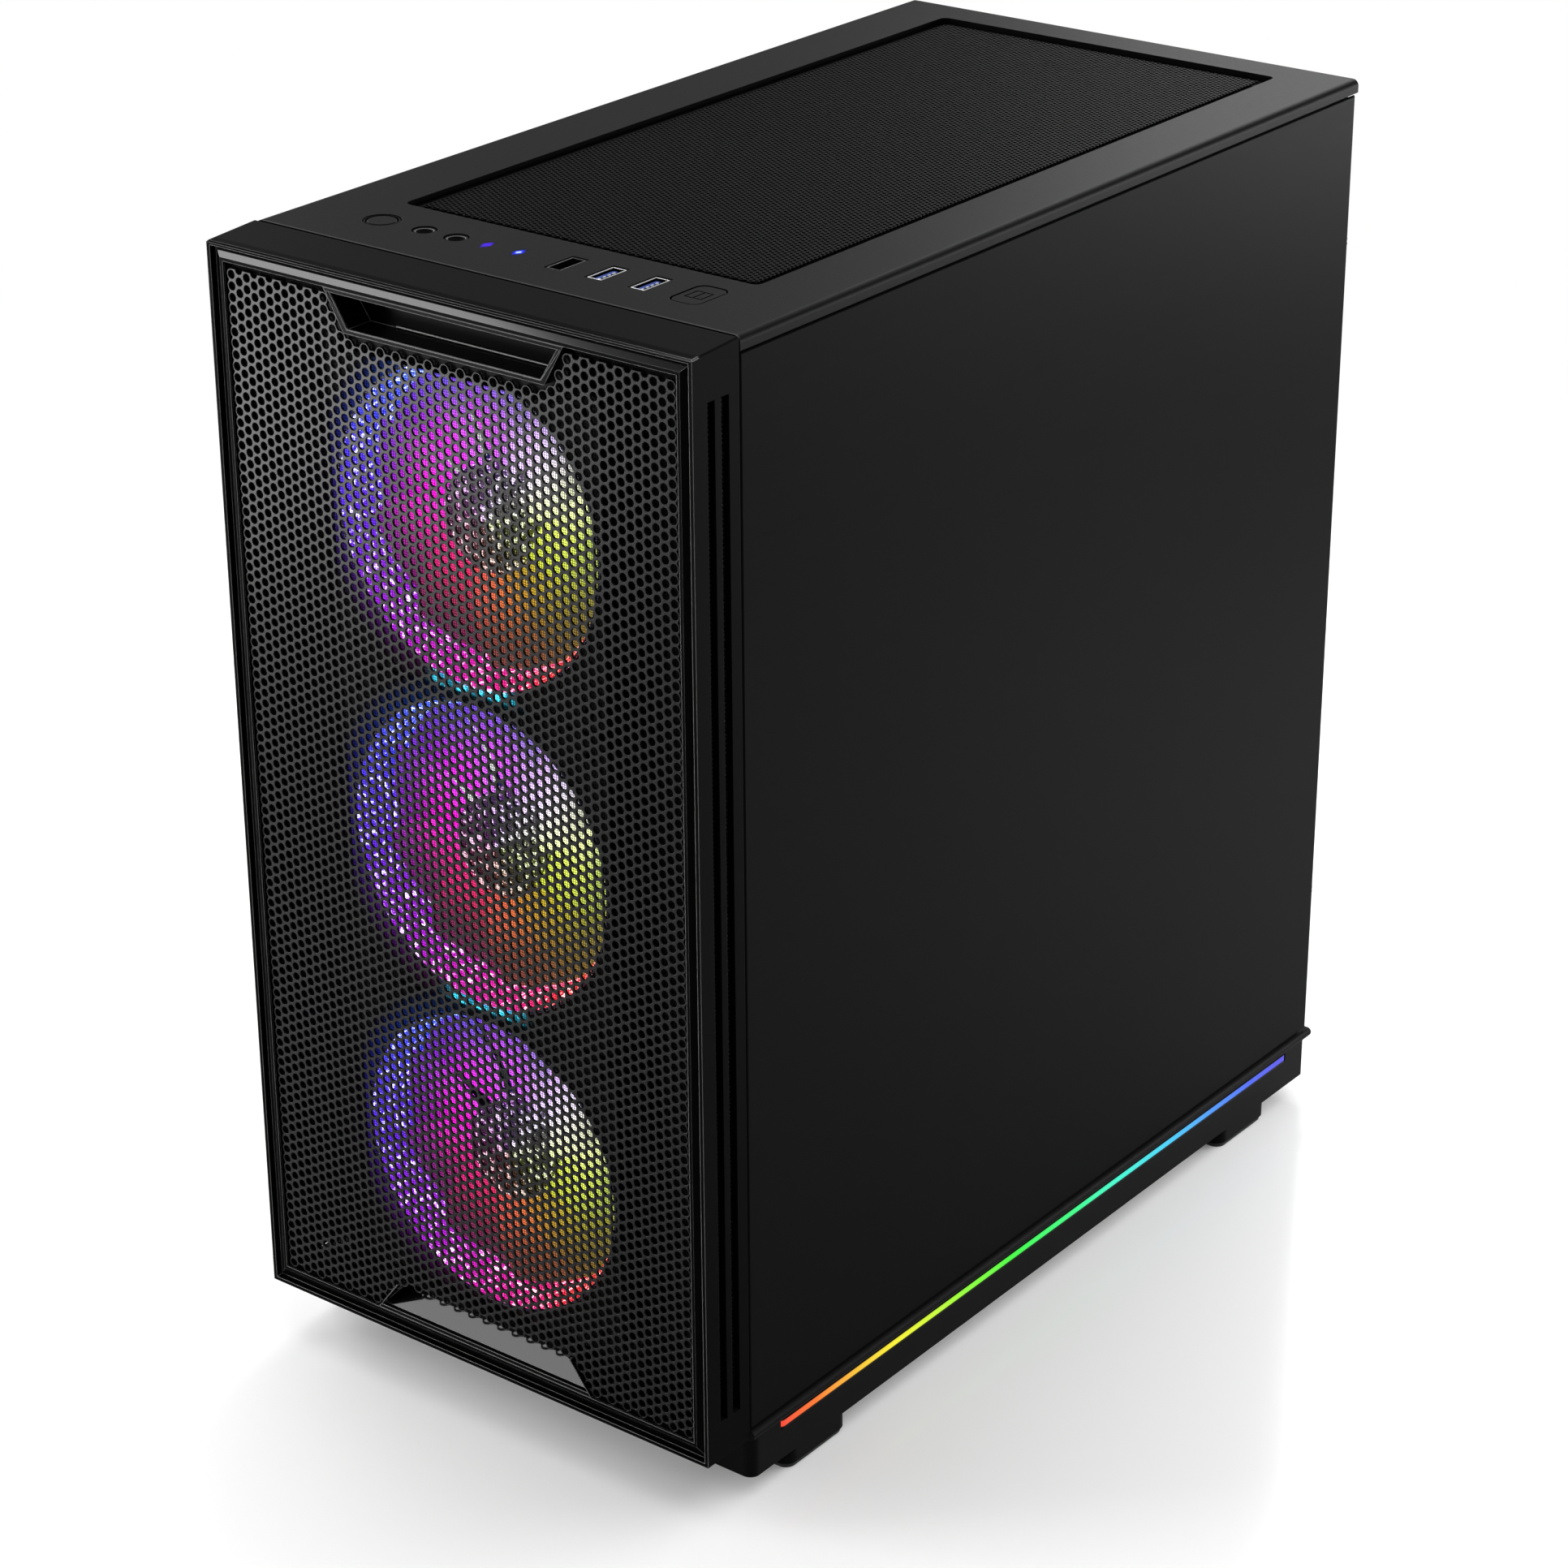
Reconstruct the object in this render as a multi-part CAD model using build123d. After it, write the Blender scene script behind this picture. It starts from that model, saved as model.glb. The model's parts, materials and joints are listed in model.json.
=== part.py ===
"""A desktop computer tower: the case, its lit front fans and the machine inside.

Frame: +X to the right of the front, +Y to the rear, +Z up, millimetres. The origin is on the
floor under the middle of the whole object. While a piece is being modelled, y is its depth
behind the front of the bezel; save() moves it into the frame.
"""
from build123d import *
import os
from math import cos, hypot, radians, sin, sqrt

# Outside of the case
CASE_WIDTH = 210.0
CASE_HEIGHT = 436.0
REAR_REACH = 411.0
HALF_WIDTH = CASE_WIDTH / 2
DEPTH_CENTRE = REAR_REACH / 2
SHEET = 1.0
CUT = 1.0  # how far a cutting solid runs past the surface that it cuts

# Heights above the floor
PAD_HEIGHT = 2.0
FOOT_HEIGHT = 8.0
STRIP_BOTTOM = 20.3
STRIP_TOP = 24.0
LIP_BOTTOM = 24.3
LIP_TOP = 28.1
FLOOR_TOP = LIP_TOP + SHEET
PANEL_BOTTOM = 29.2
PANEL_TOP = 430.0
ROOF = 431.0
BEZEL_BOTTOM = 26.3
BEZEL_FRONT_TOP = 434.6

# Depths behind the front of the bezel
BEZEL_DEPTH = 23.6
TOP_FRONT = 24.2
PANEL_FRONT = 25.0
FLOOR_FRONT = 26.0
FAN_FRONT = 8.5
RAIL_FRONT = 33.5
RAIL_BACK = 34.7
REAR_WALL = 400.0
REAR_FACE = 401.2
SKIRT_REAR = 401.5
PANEL_REAR = 404.0
TOP_REAR = 405.0
LIP_REAR = 406.6

# Sides
LIP_REACH = 106.0
PANEL_OUTSIDE = 104.5
PANEL_INSIDE = PANEL_OUTSIDE - SHEET
GLASS_THICKNESS = 3.0
GLASS_INSIDE = PANEL_OUTSIDE - GLASS_THICKNESS
WALL_RIGHT = 102.8
WALL_LEFT = -100.0
RAIL_INNER = 88.0
TRAY_LEFT = 82.0
TRAY_RIGHT = TRAY_LEFT + SHEET

# Base: feet, rails and lit strips
FOOT_DEPTHS = ((46.0, 82.0), (338.0, 374.0))
FOOT_CORNER = 5.0
PAD_INSET = 1.0
RAIL_CORNER = 4.0
LIP_ROUND = 1.8
FRONT_RAIL_DEPTH = 15.0
STRIP_FRONT = 41.7
STRIP_REAR = 387.7
STRIP_INNER = 101.0
STRIP_PROUD = 0.3
STRIP_ROUND = 2.0

# Front opening, its two rims with a groove between them, and what lies in it
RIM_WIDTH = 1.5
RIM_DROP = 3.0
INNER_RIM_FRONT = 0.5
INNER_RIM_WIDTH = 1.3
INNER_RIM_IN = 98.3
INNER_RIM_OUT = INNER_RIM_IN + INNER_RIM_WIDTH
MESH_BOTTOM = 34.0
MESH_TOP = 428.2
MESH_FRONT = 1.4
MESH_BACK = 2.2
MESH_TUCK = 1.4
STRIP_SEAM = 0.1
SEAT_TUCK = 1.5
FILTER_FRONT = 2.4
FILTER_BACK = 3.2
BEZEL_WALL = 2.4
BEZEL_FACE_BACK = 6.0
BEZEL_EDGE = 0.6
COARSE_PITCH = 17.6
COARSE_WEB = 2.4
COARSE_EDGE = 1.0
NET_SIDE = 5.0
NET_END = 10.0
NET_COUNTS = (7, 14)
NET_WEB = 1.6

# Side vents in the bezel
VENT_DEPTHS = ((7.4, 11.1), (14.3, 18.3))
VENT_BOTTOM = 41.4
VENT_TOP = 418.6

# Finger grips in the front: half widths and heights of their mouths
GRIP_WALL = 1.4
GRIP_BACK = 12.5
GRIP_LIP = 1.5
GRIP_GAP = 0.1
UPPER_WIDE = 50.7
UPPER_NARROW = 42.3
UPPER_BOTTOM = 415.0
UPPER_MARGIN = 3.0
LOWER_WIDE = 49.8
LOWER_NARROW = 40.4
LOWER_TOP = 46.6
LOWER_BOTTOM = 35.7
LOWER_MARGIN = 1.0
RAMP_FRONT = 2.5
RAMP_TOP = 46.2

# Side panels and their thumbscrews
PANEL_EDGE = 0.5
BORDER = 14.0
BORDER_INSET = 1.0
FLANGE_FRONT = 402.6
FLANGE_BACK = 403.6
FLANGE_INNER = 88.0
FLANGE_INSET = 8.0
SCREW_X = 95.0
SCREW_ZS = (90.0, 370.0)
SCREW_HOLE = 2.3
SCREW_SHANK = 1.9
SCREW_TIP = 397.0
SCREW_HEAD = 5.5
SCREW_COLLAR = 1.5
RIB_COUNT = 12
RIB_RADIUS = 0.7

# 120 mm fans
FAN_SIZE = 120.0
FAN_THICKNESS = 25.0
FAN_CORNER = 6.0
FAN_BORE = 58.4
FAN_SCREWS = 52.5
FAN_SCREW_RADIUS = 2.15
FAN_PITCH = 121.3
FAN_MIDDLE = 230.3
FAN_HEIGHTS = (FAN_MIDDLE + FAN_PITCH, FAN_MIDDLE, FAN_MIDDLE - FAN_PITCH)
HUB_RADIUS = 19.0
HUB_FRONT = 9.5
HUB_BACK = 21.5
HUB_SEAT_RADIUS = 20.0
HUB_SEAT_FRONT = 22.0
STRUT_TURNS = (20, 110, 200, 290)
STRUT_HALF = 2.0
STRUT_REACH = 59.2
BLADE_TIP = 55.5
BLADE_COUNT = 9
BLADE_CHORD = 31.0
BLADE_PITCH = 18.0
BLADE_THICKNESS = 1.4

# Chassis sheets
ROOF_RAIL_HEIGHT = 3.0
ROOF_RAIL_LEFT = 10.0
RAIL_OPEN_HALF = 48.0
CABLE_HOLE_DEPTHS = (118.0, 142.0)
CABLE_HOLE_BOTTOMS = (140.0, 240.0, 340.0)
CABLE_HOLE_HEIGHT = 38.0
STANDOFF_RADIUS = 3.0
STANDOFF_DEPTHS = (17.0, 120.0, 234.0)
STANDOFF_HEIGHTS = (12.0, 122.0, 232.0)
SHROUD_LEFT = -99.0
SHROUD_FRONT = 36.7
SHROUD_TOP = 116.6
SHROUD_VENT_LEFTS = (-70.0, 0.0)
SHROUD_VENT_WIDTH = 60.0
SHROUD_VENT_FIRST = 60.0
SHROUD_VENT_PITCH = 12.0
SHROUD_VENT_COUNT = 10
SHROUD_VENT_DEPTH = 4.0

# Top panel, filter field and sockets: x places along one row
TOP_SKIN = 2.0
TOP_EDGE = 2.5
FIELD_LEFT = -77.0
FIELD_RIGHT = 78.0
FIELD_FRONT = 68.0
FIELD_REAR = 389.0
FIELD_FLOOR = 433.2
FIELD_CORNER = 3.0
FIELD_BORDER = 10.0
FIELD_SLOTS = (5, 26)
FIELD_WEB = 5.0
TOP_FILTER_HEIGHT = 1.6
TOP_FILTER_GAP = 0.4
TOP_FILTER_BORDER = 5.0
TOP_FILTER_COUNTS = (10, 20)
TOP_FILTER_WEB = 2.0
POCKET_HALF = 90.0
POCKET_DEPTHS = (34.0, 65.0)
SOCKET_ROW = 49.0
POWER_X = -69.6
JACK_XS = (-50.1, -35.7)
WINDOW_XS = (-22.0, -8.0)
PLAIN_USB_X = 12.8
BLUE_USB_XS = (30.3, 48.5)
LIGHTING_X = 68.8
POWER_RADIUS = 6.85
POWER_GROOVE = (5.35, 5.95)
POWER_GROOVE_DEPTH = 0.6
BUTTON_GAP = 0.45
LIGHTING_SIZE = (13.0, 19.5)
LIGHTING_CORNER = 4.0
BUTTON_FLANGE = 1.2
BUTTON_FLANGE_REACH = 0.8
BUTTON_STEM = 2.0
BUTTON_TRAVEL = 1.5
BUTTON_FREE = 0.2
FLANGE_TOP = CASE_HEIGHT - TOP_SKIN - 0.3
JACK_RADIUS = 4.5
JACK_BORE = 1.8
JACK_DEPTH = 14.0
JACK_COLLAR = 10.0
JACK_BODY = (11.0, 14.0)
SOCKET_GAP = 0.05
WINDOW_SIZE = (3.5, 7.5)
WINDOW_CORNER = 0.8
USB_PLATE = (7.2, 15.4)
USB_PLATE_CORNER = 0.6
USB_PLATE_DROP = 0.2
USB_PLATE_HEIGHT = 1.0
USB_SHELL = (5.9, 13.3)
USB_SHELL_CORNER = 0.4
USB_MOUTH = (5.12, 12.5)
USB_MOUTH_CORNER = 0.2
USB_DEPTH = 15.0
USB_TONGUE = (1.9, 11.2)
USB_TONGUE_SHIFT = 1.0
USB_TONGUE_HEIGHT = 10.5
IO_BOARD_BOTTOM = 418.0
IO_BOARD_TOP = 419.6
IO_BOARD_HALF = 80.0
IO_BOARD_DEPTHS = (36.0, 62.0)
IO_POST_XS = (-59.0, 57.0)
IO_POST_DEPTH = 59.0
IO_POST_RADIUS = 2.0
SWITCH_SIZE = 6.0
SWITCH_TOP = 421.5

# Motherboard, and the card slots in line with it
BOARD_SIDE = 244.0
BOARD_TOP = 423.0
BOARD_BOTTOM = BOARD_TOP - BOARD_SIDE
BOARD_REAR = 398.0
BOARD_FRONT = BOARD_REAR - BOARD_SIDE
BOARD_BACK = 76.0
BOARD_FACE = 74.4
SHIELD_BOTTOM = 262.0
SHIELD_TOP = 420.75
SHIELD_INNER = 31.5
SHIELD_OUTER = 76.0
SHIELD_BACK = REAR_FACE - 0.3
SLOT_PITCH = 20.32
SLOT_FIRST = 248.0
SLOT_COUNT = 7
SLOT_HALF = 9.2
SLOT_OPEN_HALF = 6.5
SLOT_OPEN_INSET = 8.0
SLOT_INNER = -44.0
CARD_SLOT = 1
CARD_SLOTS = (CARD_SLOT, CARD_SLOT + 1)

# Rear ports from the top down: height of the port's middle, its size along z, across x, and its mouths
PORTS = ((409.0, 14.0, 14.0, 1), (388.0, 14.5, 30.0, 2), (366.0, 15.0, 16.0, 2), (345.0, 14.5, 16.0, 2),
         (324.0, 14.5, 30.0, 2), (302.0, 16.0, 16.0, 2), (279.0, 22.0, 9.0, 1))
PORT_BASE = BOARD_FACE - 1.0
PORT_FRONT = BOARD_REAR - 22.0
PORT_REAR = REAR_FACE + 0.6
PORT_WALL = 1.0
PORT_MOUTH_DEPTH = 12.0
PORT_GAP = 0.15

# Sockets on the board: memory and card sockets, then the others by x of their tops, depths and heights
MEMORY_DEPTHS = (168.0, 178.0, 188.0, 198.0)
MEMORY_LENGTH = 133.0
MEMORY_TOP = 416.0
MEMORY_SOCKET_X = 67.0
MEMORY_SOCKET_WIDTH = 6.0
MEMORY_LATCH = 4.0
MEMORY_REACH = 32.0
MEMORY_SPREADER = 0.5
MEMORY_NOTCH = (4.0, 14.0)
MEMORY_NOTCH_PLACES = (26.0, 93.0)
CARD_SOCKET_X = 63.0
CARD_SOCKET_DEPTHS = (290.0, 380.0)
CARD_SOCKET_HALF = 3.6
CARD_SOCKET_SLOTS = (CARD_SLOT, CARD_SLOT + 2)
LEAD_SOCKETS = ((62.4, (155.0, 164.0), (300.0, 352.0)), (62.4, (350.0, 370.0), (412.0, 422.0)),
                (64.4, (155.0, 166.0), (200.0, 215.0)), (64.4, (155.0, 166.0), (220.0, 235.0)))

# Heat sinks on the board, by x of their tops, depths and heights; the first one is grooved
BOARD_SINKS = ((50.0, (338.0, 358.0), (300.0, 396.0)), (50.0, (262.0, 330.0), (402.0, 420.0)),
               (64.0, (196.0, 236.0), (188.0, 224.0)), (66.0, (262.0, 342.0), (240.0, 262.0)))
SINK_GROOVES = (342.0, 347.0, 352.0)
SINK_GROOVE_WIDTH = 2.0
SINK_GROOVE_DEPTH = 10.0

# Processor cooler and rear fan places
COOLER_X = -20.0
COOLER_Z = 348.0
COOLER_DEPTH = 303.0
CONTACT_LEFT = 60.0
CONTACT_HALVES = (20.0, 40.0)
PIPE_RADIUS = 3.0
PIPE_SPREAD = (-33.0, -12.0, 12.0, 33.0)
PIPE_END = 62.0
FIN_HALF_DEPTH = 24.0
FIN_HALF_HEIGHT = 58.0
FIN_COUNT = 24
FIN_PITCH = 4.4
FIN_THICKNESS = 0.8
FIN_LAST_X = -76.0
PIPE_OVERHANG = 2.0
REAR_FAN_X = -30.0
REAR_FAN_Z = 358.0
VENT_PITCH = 9.0
FAN_VENT_RADIUS = 4.4
FAN_VENT_INSET = 6.0

# Graphics card, lying level in its slot with its fans underneath
CARD_FRONT = 150.0
CARD_HALF_BOARD = 0.8
CARD_PLATE = 1.6
CARD_SIDE = 2.0
CARD_REAR_GAP = 6.0
SHROUD_BOTTOM = 189.0
SHROUD_EDGE = 4.0
CARD_FAN_DEPTHS = (212.0, 322.0)
CARD_FAN_BORE = 45.0
CARD_FAN_TIP = 43.0
CARD_FAN_HUB = 16.0
CARD_FAN_X = 8.0
CARD_FAN_FLOOR = 212.0
CARD_FAN_INSET = 1.5
BRACKET_FRONT = 398.8
BRACKET_BACK = 399.8
BRACKET_VENT = (8.0, 10.0)
BRACKET_VENT_LEFTS = (-32.0, -20.0, -8.0, 4.0, 16.0, 28.0, 40.0, 52.0)
BRACKET_VENT_RISE = 5.0

# Power supply, its runners and filter under the floor, mains inlet and rocker switch
SUPPLY_LEFT = -80.0
SUPPLY_RIGHT = 70.0
SUPPLY_FRONT = 259.0
SUPPLY_HEIGHT = 86.0
SUPPLY_TOP = FLOOR_TOP + SUPPLY_HEIGHT
SUPPLY_X = (SUPPLY_LEFT + SUPPLY_RIGHT) / 2
SUPPLY_MIDDLE = (SUPPLY_FRONT + REAR_WALL) / 2
SUPPLY_WALL = 1.2
SUPPLY_OPENING_INSETS = (4.0, 3.0)
SUPPLY_VENT_RADIUS = 4.2
SUPPLY_VENT_INSET = 12.0
SUPPLY_FAN_TOP = 48.0
SUPPLY_FAN_INSET = 2.5
SUPPLY_ARM_HALF = 4.0
SUPPLY_ARM_HEIGHT = 2.0
ROTOR_CLEAR = 0.4
INTAKE_INSETS = (12.0, 8.0)
INTAKE_COUNTS = (12, 6)
INTAKE_WEB = 4.0
RUNNER_GAP = 2.0
RUNNER_HOOK = 5.0
RUNNER_BOTTOM = 20.5
RUNNER_FRONT = 242.0
TRAY_FILTER_GAP = 0.5
TRAY_FILTER_BOTTOM = 22.0
TRAY_FILTER_TOP = 24.4
TRAY_FILTER_FRONT = 248.0
TRAY_FILTER_REAR = 403.0
TRAY_FILTER_BORDER = 6.0
TRAY_FILTER_COUNTS = (9, 9)
TRAY_FILTER_WEB = 1.6
TAB_REAR = 407.0
TAB_HALF = 20.0
TAB_TOP = 26.4
INLET_X = 44.0
INLET_Z = 56.0
INLET_FLANGE = (31.0, 24.0)
INLET_BODY = (27.6, 20.0)
INLET_MOUTH = (24.2, 16.4)
INLET_DEPTH = 15.0
INLET_REAR = REAR_FACE + 1.0
INLET_FLOOR = 2.0
INLET_PINS = ((-7.0, -2.0), (7.0, -2.0), (0.0, 2.5))
PIN_SIZE = (2.0, 4.0)
PIN_SUNK = 3.0
INLET_VENT_GAP = 26.0
SWITCH_Z = 88.0
ROCKER_TILT = 8.0
ROCKER_HOLE = (15.0, 21.6)
ROCKER_HALF_WIDTH = 7.0
ROCKER_HALF_LENGTH = 9.8
ROCKER_EAR = 2.0
ROCKER_WAIST = 1.0
ROCKER_ROOT = 5.0
ROCKER_ROOT_HALF = 4.0
ROCKER_POCKET = 9.0
ROCKER_PIVOT = REAR_WALL - 1.4

# Storage drive behind the tray, and the leads along the tray
DRIVE_DEPTHS = (190.0, 290.0)
DRIVE_HEIGHTS = (230.0, 300.0)
DRIVE_THICKNESS = 7.0
CABLE_RADIUS = 4.0
CABLE_BEND = 8.0
CABLE_DEPTH = 138.0
BOARD_CABLE_X = 68.0
BOARD_CABLE_Z = 326.0
CARD_CABLE_X = 30.0
CARD_CABLE_DROP = 12.0


def block(x, y, z):
    """A box between three pairs of limits."""
    middle = [(low + high) / 2 for low, high in (x, y, z)]
    return Pos(*middle) * Box(x[1] - x[0], y[1] - y[0], z[1] - z[0])


def rod(axis, radius, start, end, at):
    """A round bar along an axis; at holds its other two coordinates in X, Y, Z order."""
    middle = (start + end) / 2
    bar = Cylinder(radius, end - start)
    if axis == "x":
        return Pos(middle, *at) * Rot(0, 90, 0) * bar
    if axis == "y":
        return Pos(at[0], middle, at[1]) * Rot(90, 0, 0) * bar
    return Pos(*at, middle) * bar


def lift(axis, point, level):
    """A flat point put at a level along an axis."""
    if axis == "x":
        return Vector(level, *point)
    if axis == "y":
        return Vector(point[0], level, point[1])
    return Vector(*point, level)


def sheet(axis, outline, start, end, holes=()):
    """A flat outline with flat holes, made as thick as start to end along an axis."""
    rings = [Wire.make_polygon([lift(axis, p, start) for p in ring]) for ring in (outline, *holes)]
    return Solid.extrude(Face(rings[0], rings[1:]), lift(axis, (0, 0), end - start))


def rectangle(a, b):
    """Corners of a flat rectangle from two pairs of limits."""
    return [(a[0], b[0]), (a[1], b[0]), (a[1], b[1]), (a[0], b[1])]


def span(middle, size):
    """A pair of limits about a middle."""
    return (middle - size / 2, middle + size / 2)


def inset(limits, margin):
    """A pair of limits drawn in at both ends."""
    return (limits[0] + margin, limits[1] - margin)


def around(centre, size):
    """Corners of a flat rectangle about a centre."""
    return rectangle(span(centre[0], size[0]), span(centre[1], size[1]))


def hexagon(centre, radius):
    """Corners of a flat hexagon with two level sides."""
    return [(centre[0] + radius * cos(radians(60 * k)), centre[1] + radius * sin(radians(60 * k)))
            for k in range(6)]


def honeycomb(a, b, pitch, keep):
    """Centres of a hexagonal pattern inside two pairs of limits, where keep allows them."""
    column = pitch * sqrt(3) / 2
    across = int((a[1] - a[0]) / column) + 1
    along = int((b[1] - b[0]) / pitch) + 1
    first_a = (a[0] + a[1] - (across - 1) * column) / 2
    first_b = (b[0] + b[1] - (along - 1) * pitch) / 2
    centres = []
    for i in range(across):
        for j in range(along - i % 2):
            centre = (first_a + i * column, first_b + (j + i % 2 / 2) * pitch)
            if keep(*centre):
                centres.append(centre)
    return centres


def grid(a, b, counts, web):
    """Rectangular openings that fill two pairs of limits, with webs between them."""
    width = (a[1] - a[0] + web) / counts[0]
    height = (b[1] - b[0] + web) / counts[1]
    return [rectangle((a[0] + i * width, a[0] + (i + 1) * width - web),
                      (b[0] + j * height, b[0] + (j + 1) * height - web))
            for i in range(counts[0]) for j in range(counts[1])]


def pad(x, y, size, corner, bottom, top):
    """An upright block with rounded corners, centred on x and y."""
    return Pos(x, y, bottom) * extrude(RectangleRounded(*size, corner), top - bottom)


def save(name, *pieces):
    """Writes one node: every solid of the pieces, moved into the object's frame."""
    solids = [Pos(0, -DEPTH_CENTRE, 0) * solid for piece in pieces for solid in piece.solids()]
    export_step(Compound(solids) if len(solids) > 1 else solids[0], f"parts/{name}.step")


# Base: side rails with a rounded lip and moulded feet, front rail, rubber pads, lit strips
def foot_blocks(margin, bottom, top):
    """The two feet under the right rail, drawn in by a margin on every side."""
    across = HALF_WIDTH - RAIL_INNER - 2 * margin
    middle = (HALF_WIDTH + RAIL_INNER) / 2
    corner = FOOT_CORNER - margin
    return [pad(middle, (low + high) / 2, (across, high - low - 2 * margin), corner, bottom, top)
            for low, high in FOOT_DEPTHS]


def base_rail():
    bar = block((RAIL_INNER, HALF_WIDTH), (PANEL_FRONT, SKIRT_REAR), (FOOT_HEIGHT, LIP_BOTTOM))
    corner = bar.edges().filter_by(Axis.Z).sort_by(Axis.X)[-2:].sort_by(Axis.Y)[0]
    bar = fillet(corner, RAIL_CORNER)
    lip = block((RAIL_INNER, LIP_REACH), (PANEL_FRONT, LIP_REAR), (LIP_BOTTOM, LIP_TOP))
    outer = lip.faces().sort_by(Axis.X)[-1].edges()
    lip = fillet(outer.filter_by(Axis.Y), LIP_ROUND)
    rail = bar + lip + foot_blocks(0, PAD_HEIGHT, FOOT_HEIGHT)
    return rail - block((STRIP_INNER, LIP_REACH), (STRIP_FRONT, STRIP_REAR), (STRIP_BOTTOM, STRIP_TOP))


def light_strip():
    across = (STRIP_INNER, HALF_WIDTH + STRIP_PROUD)
    strip = block(across, (STRIP_FRONT, STRIP_REAR), (STRIP_BOTTOM, STRIP_TOP))
    ends = strip.faces().sort_by(Axis.X)[-1].edges().filter_by(Axis.Z)
    return fillet(ends, STRIP_ROUND)


def base_front_rail():
    depths = (PANEL_FRONT, PANEL_FRONT + FRONT_RAIL_DEPTH)
    return block((-RAIL_INNER, RAIL_INNER), depths, (FOOT_HEIGHT, LIP_TOP))


# Front panel: bezel, mesh, dust filter and the two grips
def trapezium(top_half, bottom_half, bottom, top):
    return [(-bottom_half, bottom), (bottom_half, bottom), (top_half, top), (-top_half, top)]


def frustum(back_half, back_z, back_y, front_half, front_z, front_y):
    """A block that narrows evenly from a back rectangle to a front one."""
    rings = [Wire.make_polygon([lift("y", p, y) for p in rectangle((-half, half), z)])
             for half, z, y in ((back_half, back_z, back_y), (front_half, front_z, front_y))]
    return Solid.make_loft(rings, ruled=True)


def front_bezel():
    """A box with a rim, a sloping groove inside the rim, and an opening with a seat for the mesh."""
    side = [(0, BEZEL_BOTTOM), (BEZEL_DEPTH, BEZEL_BOTTOM), (BEZEL_DEPTH, CASE_HEIGHT), (0, BEZEL_FRONT_TOP)]
    body = sheet("x", side, -HALF_WIDTH, HALF_WIDTH)
    body = chamfer(body.faces().sort_by(Axis.Z)[-1].edges(), BEZEL_EDGE)
    face_z = (BEZEL_BOTTOM, BEZEL_FRONT_TOP)
    across = (-HALF_WIDTH, HALF_WIDTH)
    body -= block(inset(across, BEZEL_WALL), (BEZEL_FACE_BACK, BEZEL_DEPTH), inset(face_z, BEZEL_WALL))
    rim_z = inset(face_z, RIM_WIDTH)
    body -= block(inset(across, RIM_WIDTH), (0, RIM_DROP), rim_z)
    opening_z = (MESH_BOTTOM, MESH_TOP)
    inner_z = inset(opening_z, -INNER_RIM_WIDTH)
    body += frustum(HALF_WIDTH - RIM_WIDTH, rim_z, RIM_DROP, INNER_RIM_OUT, inner_z, INNER_RIM_FRONT)
    opening_x = (-INNER_RIM_IN, INNER_RIM_IN)
    body -= block(opening_x, (0, BEZEL_FACE_BACK), opening_z)
    body -= block(inset(opening_x, -SEAT_TUCK), (MESH_FRONT, BEZEL_FACE_BACK), inset(opening_z, -SEAT_TUCK))
    vents = [block(span(x, 2 * (BEZEL_WALL + CUT)), depths, (VENT_BOTTOM, VENT_TOP))
             for x in across for depths in VENT_DEPTHS]
    return body - vents


def in_upper_grip(x, z, margin):
    slope = (UPPER_WIDE - UPPER_NARROW) / (MESH_TOP - UPPER_BOTTOM)
    return z > UPPER_BOTTOM - margin and abs(x) < UPPER_NARROW + slope * (z - UPPER_BOTTOM) + margin


def in_lower_grip(x, z, margin):
    slope = (LOWER_WIDE - LOWER_NARROW) / (LOWER_TOP - LOWER_BOTTOM)
    return z < LOWER_TOP + margin and abs(x) < LOWER_NARROW + slope * (LOWER_TOP - z) + margin


def front_mesh_outline():
    """The sheet's edge, notched at top and bottom for the grips."""
    edge = INNER_RIM_IN + MESH_TUCK
    low = MESH_BOTTOM - MESH_TUCK
    high = MESH_TOP + MESH_TUCK
    lower_wide = LOWER_WIDE + UPPER_MARGIN
    lower_narrow = LOWER_NARROW + UPPER_MARGIN
    lower_z = LOWER_TOP + LOWER_MARGIN
    upper_wide = UPPER_WIDE + UPPER_MARGIN
    upper_narrow = UPPER_NARROW + UPPER_MARGIN
    upper_z = UPPER_BOTTOM - UPPER_MARGIN
    right = [(lower_narrow, lower_z), (lower_wide, low), (edge, low),
             (edge, high), (upper_wide, high), (upper_narrow, upper_z)]
    return right + [(-x, z) for x, z in reversed(right)]


def in_strips(flat):
    """A front sheet cut across level with the notches: a broad strip, and one at each side of a grip."""
    levels = (LOWER_TOP + LOWER_MARGIN, UPPER_BOTTOM - UPPER_MARGIN)
    across = (-HALF_WIDTH, HALF_WIDTH)
    return flat - [block(across, (MESH_FRONT, FILTER_BACK), span(z, STRIP_SEAM)) for z in levels]


def front_mesh():
    radius = (COARSE_PITCH - COARSE_WEB) / sqrt(3)
    margin = UPPER_MARGIN + radius + COARSE_WEB

    def clear(x, z):
        return not in_upper_grip(x, z, margin) and not in_lower_grip(x, z, margin)

    across = inset((-INNER_RIM_IN, INNER_RIM_IN), radius + COARSE_EDGE)
    centres = honeycomb(across, inset((MESH_BOTTOM, MESH_TOP), radius), COARSE_PITCH, clear)
    holes = [hexagon(c, radius) for c in centres]
    return in_strips(sheet("y", front_mesh_outline(), MESH_FRONT, MESH_BACK, holes))


def front_filter():
    across = inset((-INNER_RIM_IN, INNER_RIM_IN), NET_SIDE)
    gaps = grid(across, inset((LOWER_TOP, UPPER_BOTTOM), NET_END), NET_COUNTS, NET_WEB)
    return in_strips(sheet("y", front_mesh_outline(), FILTER_FRONT, FILTER_BACK, gaps))


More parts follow.
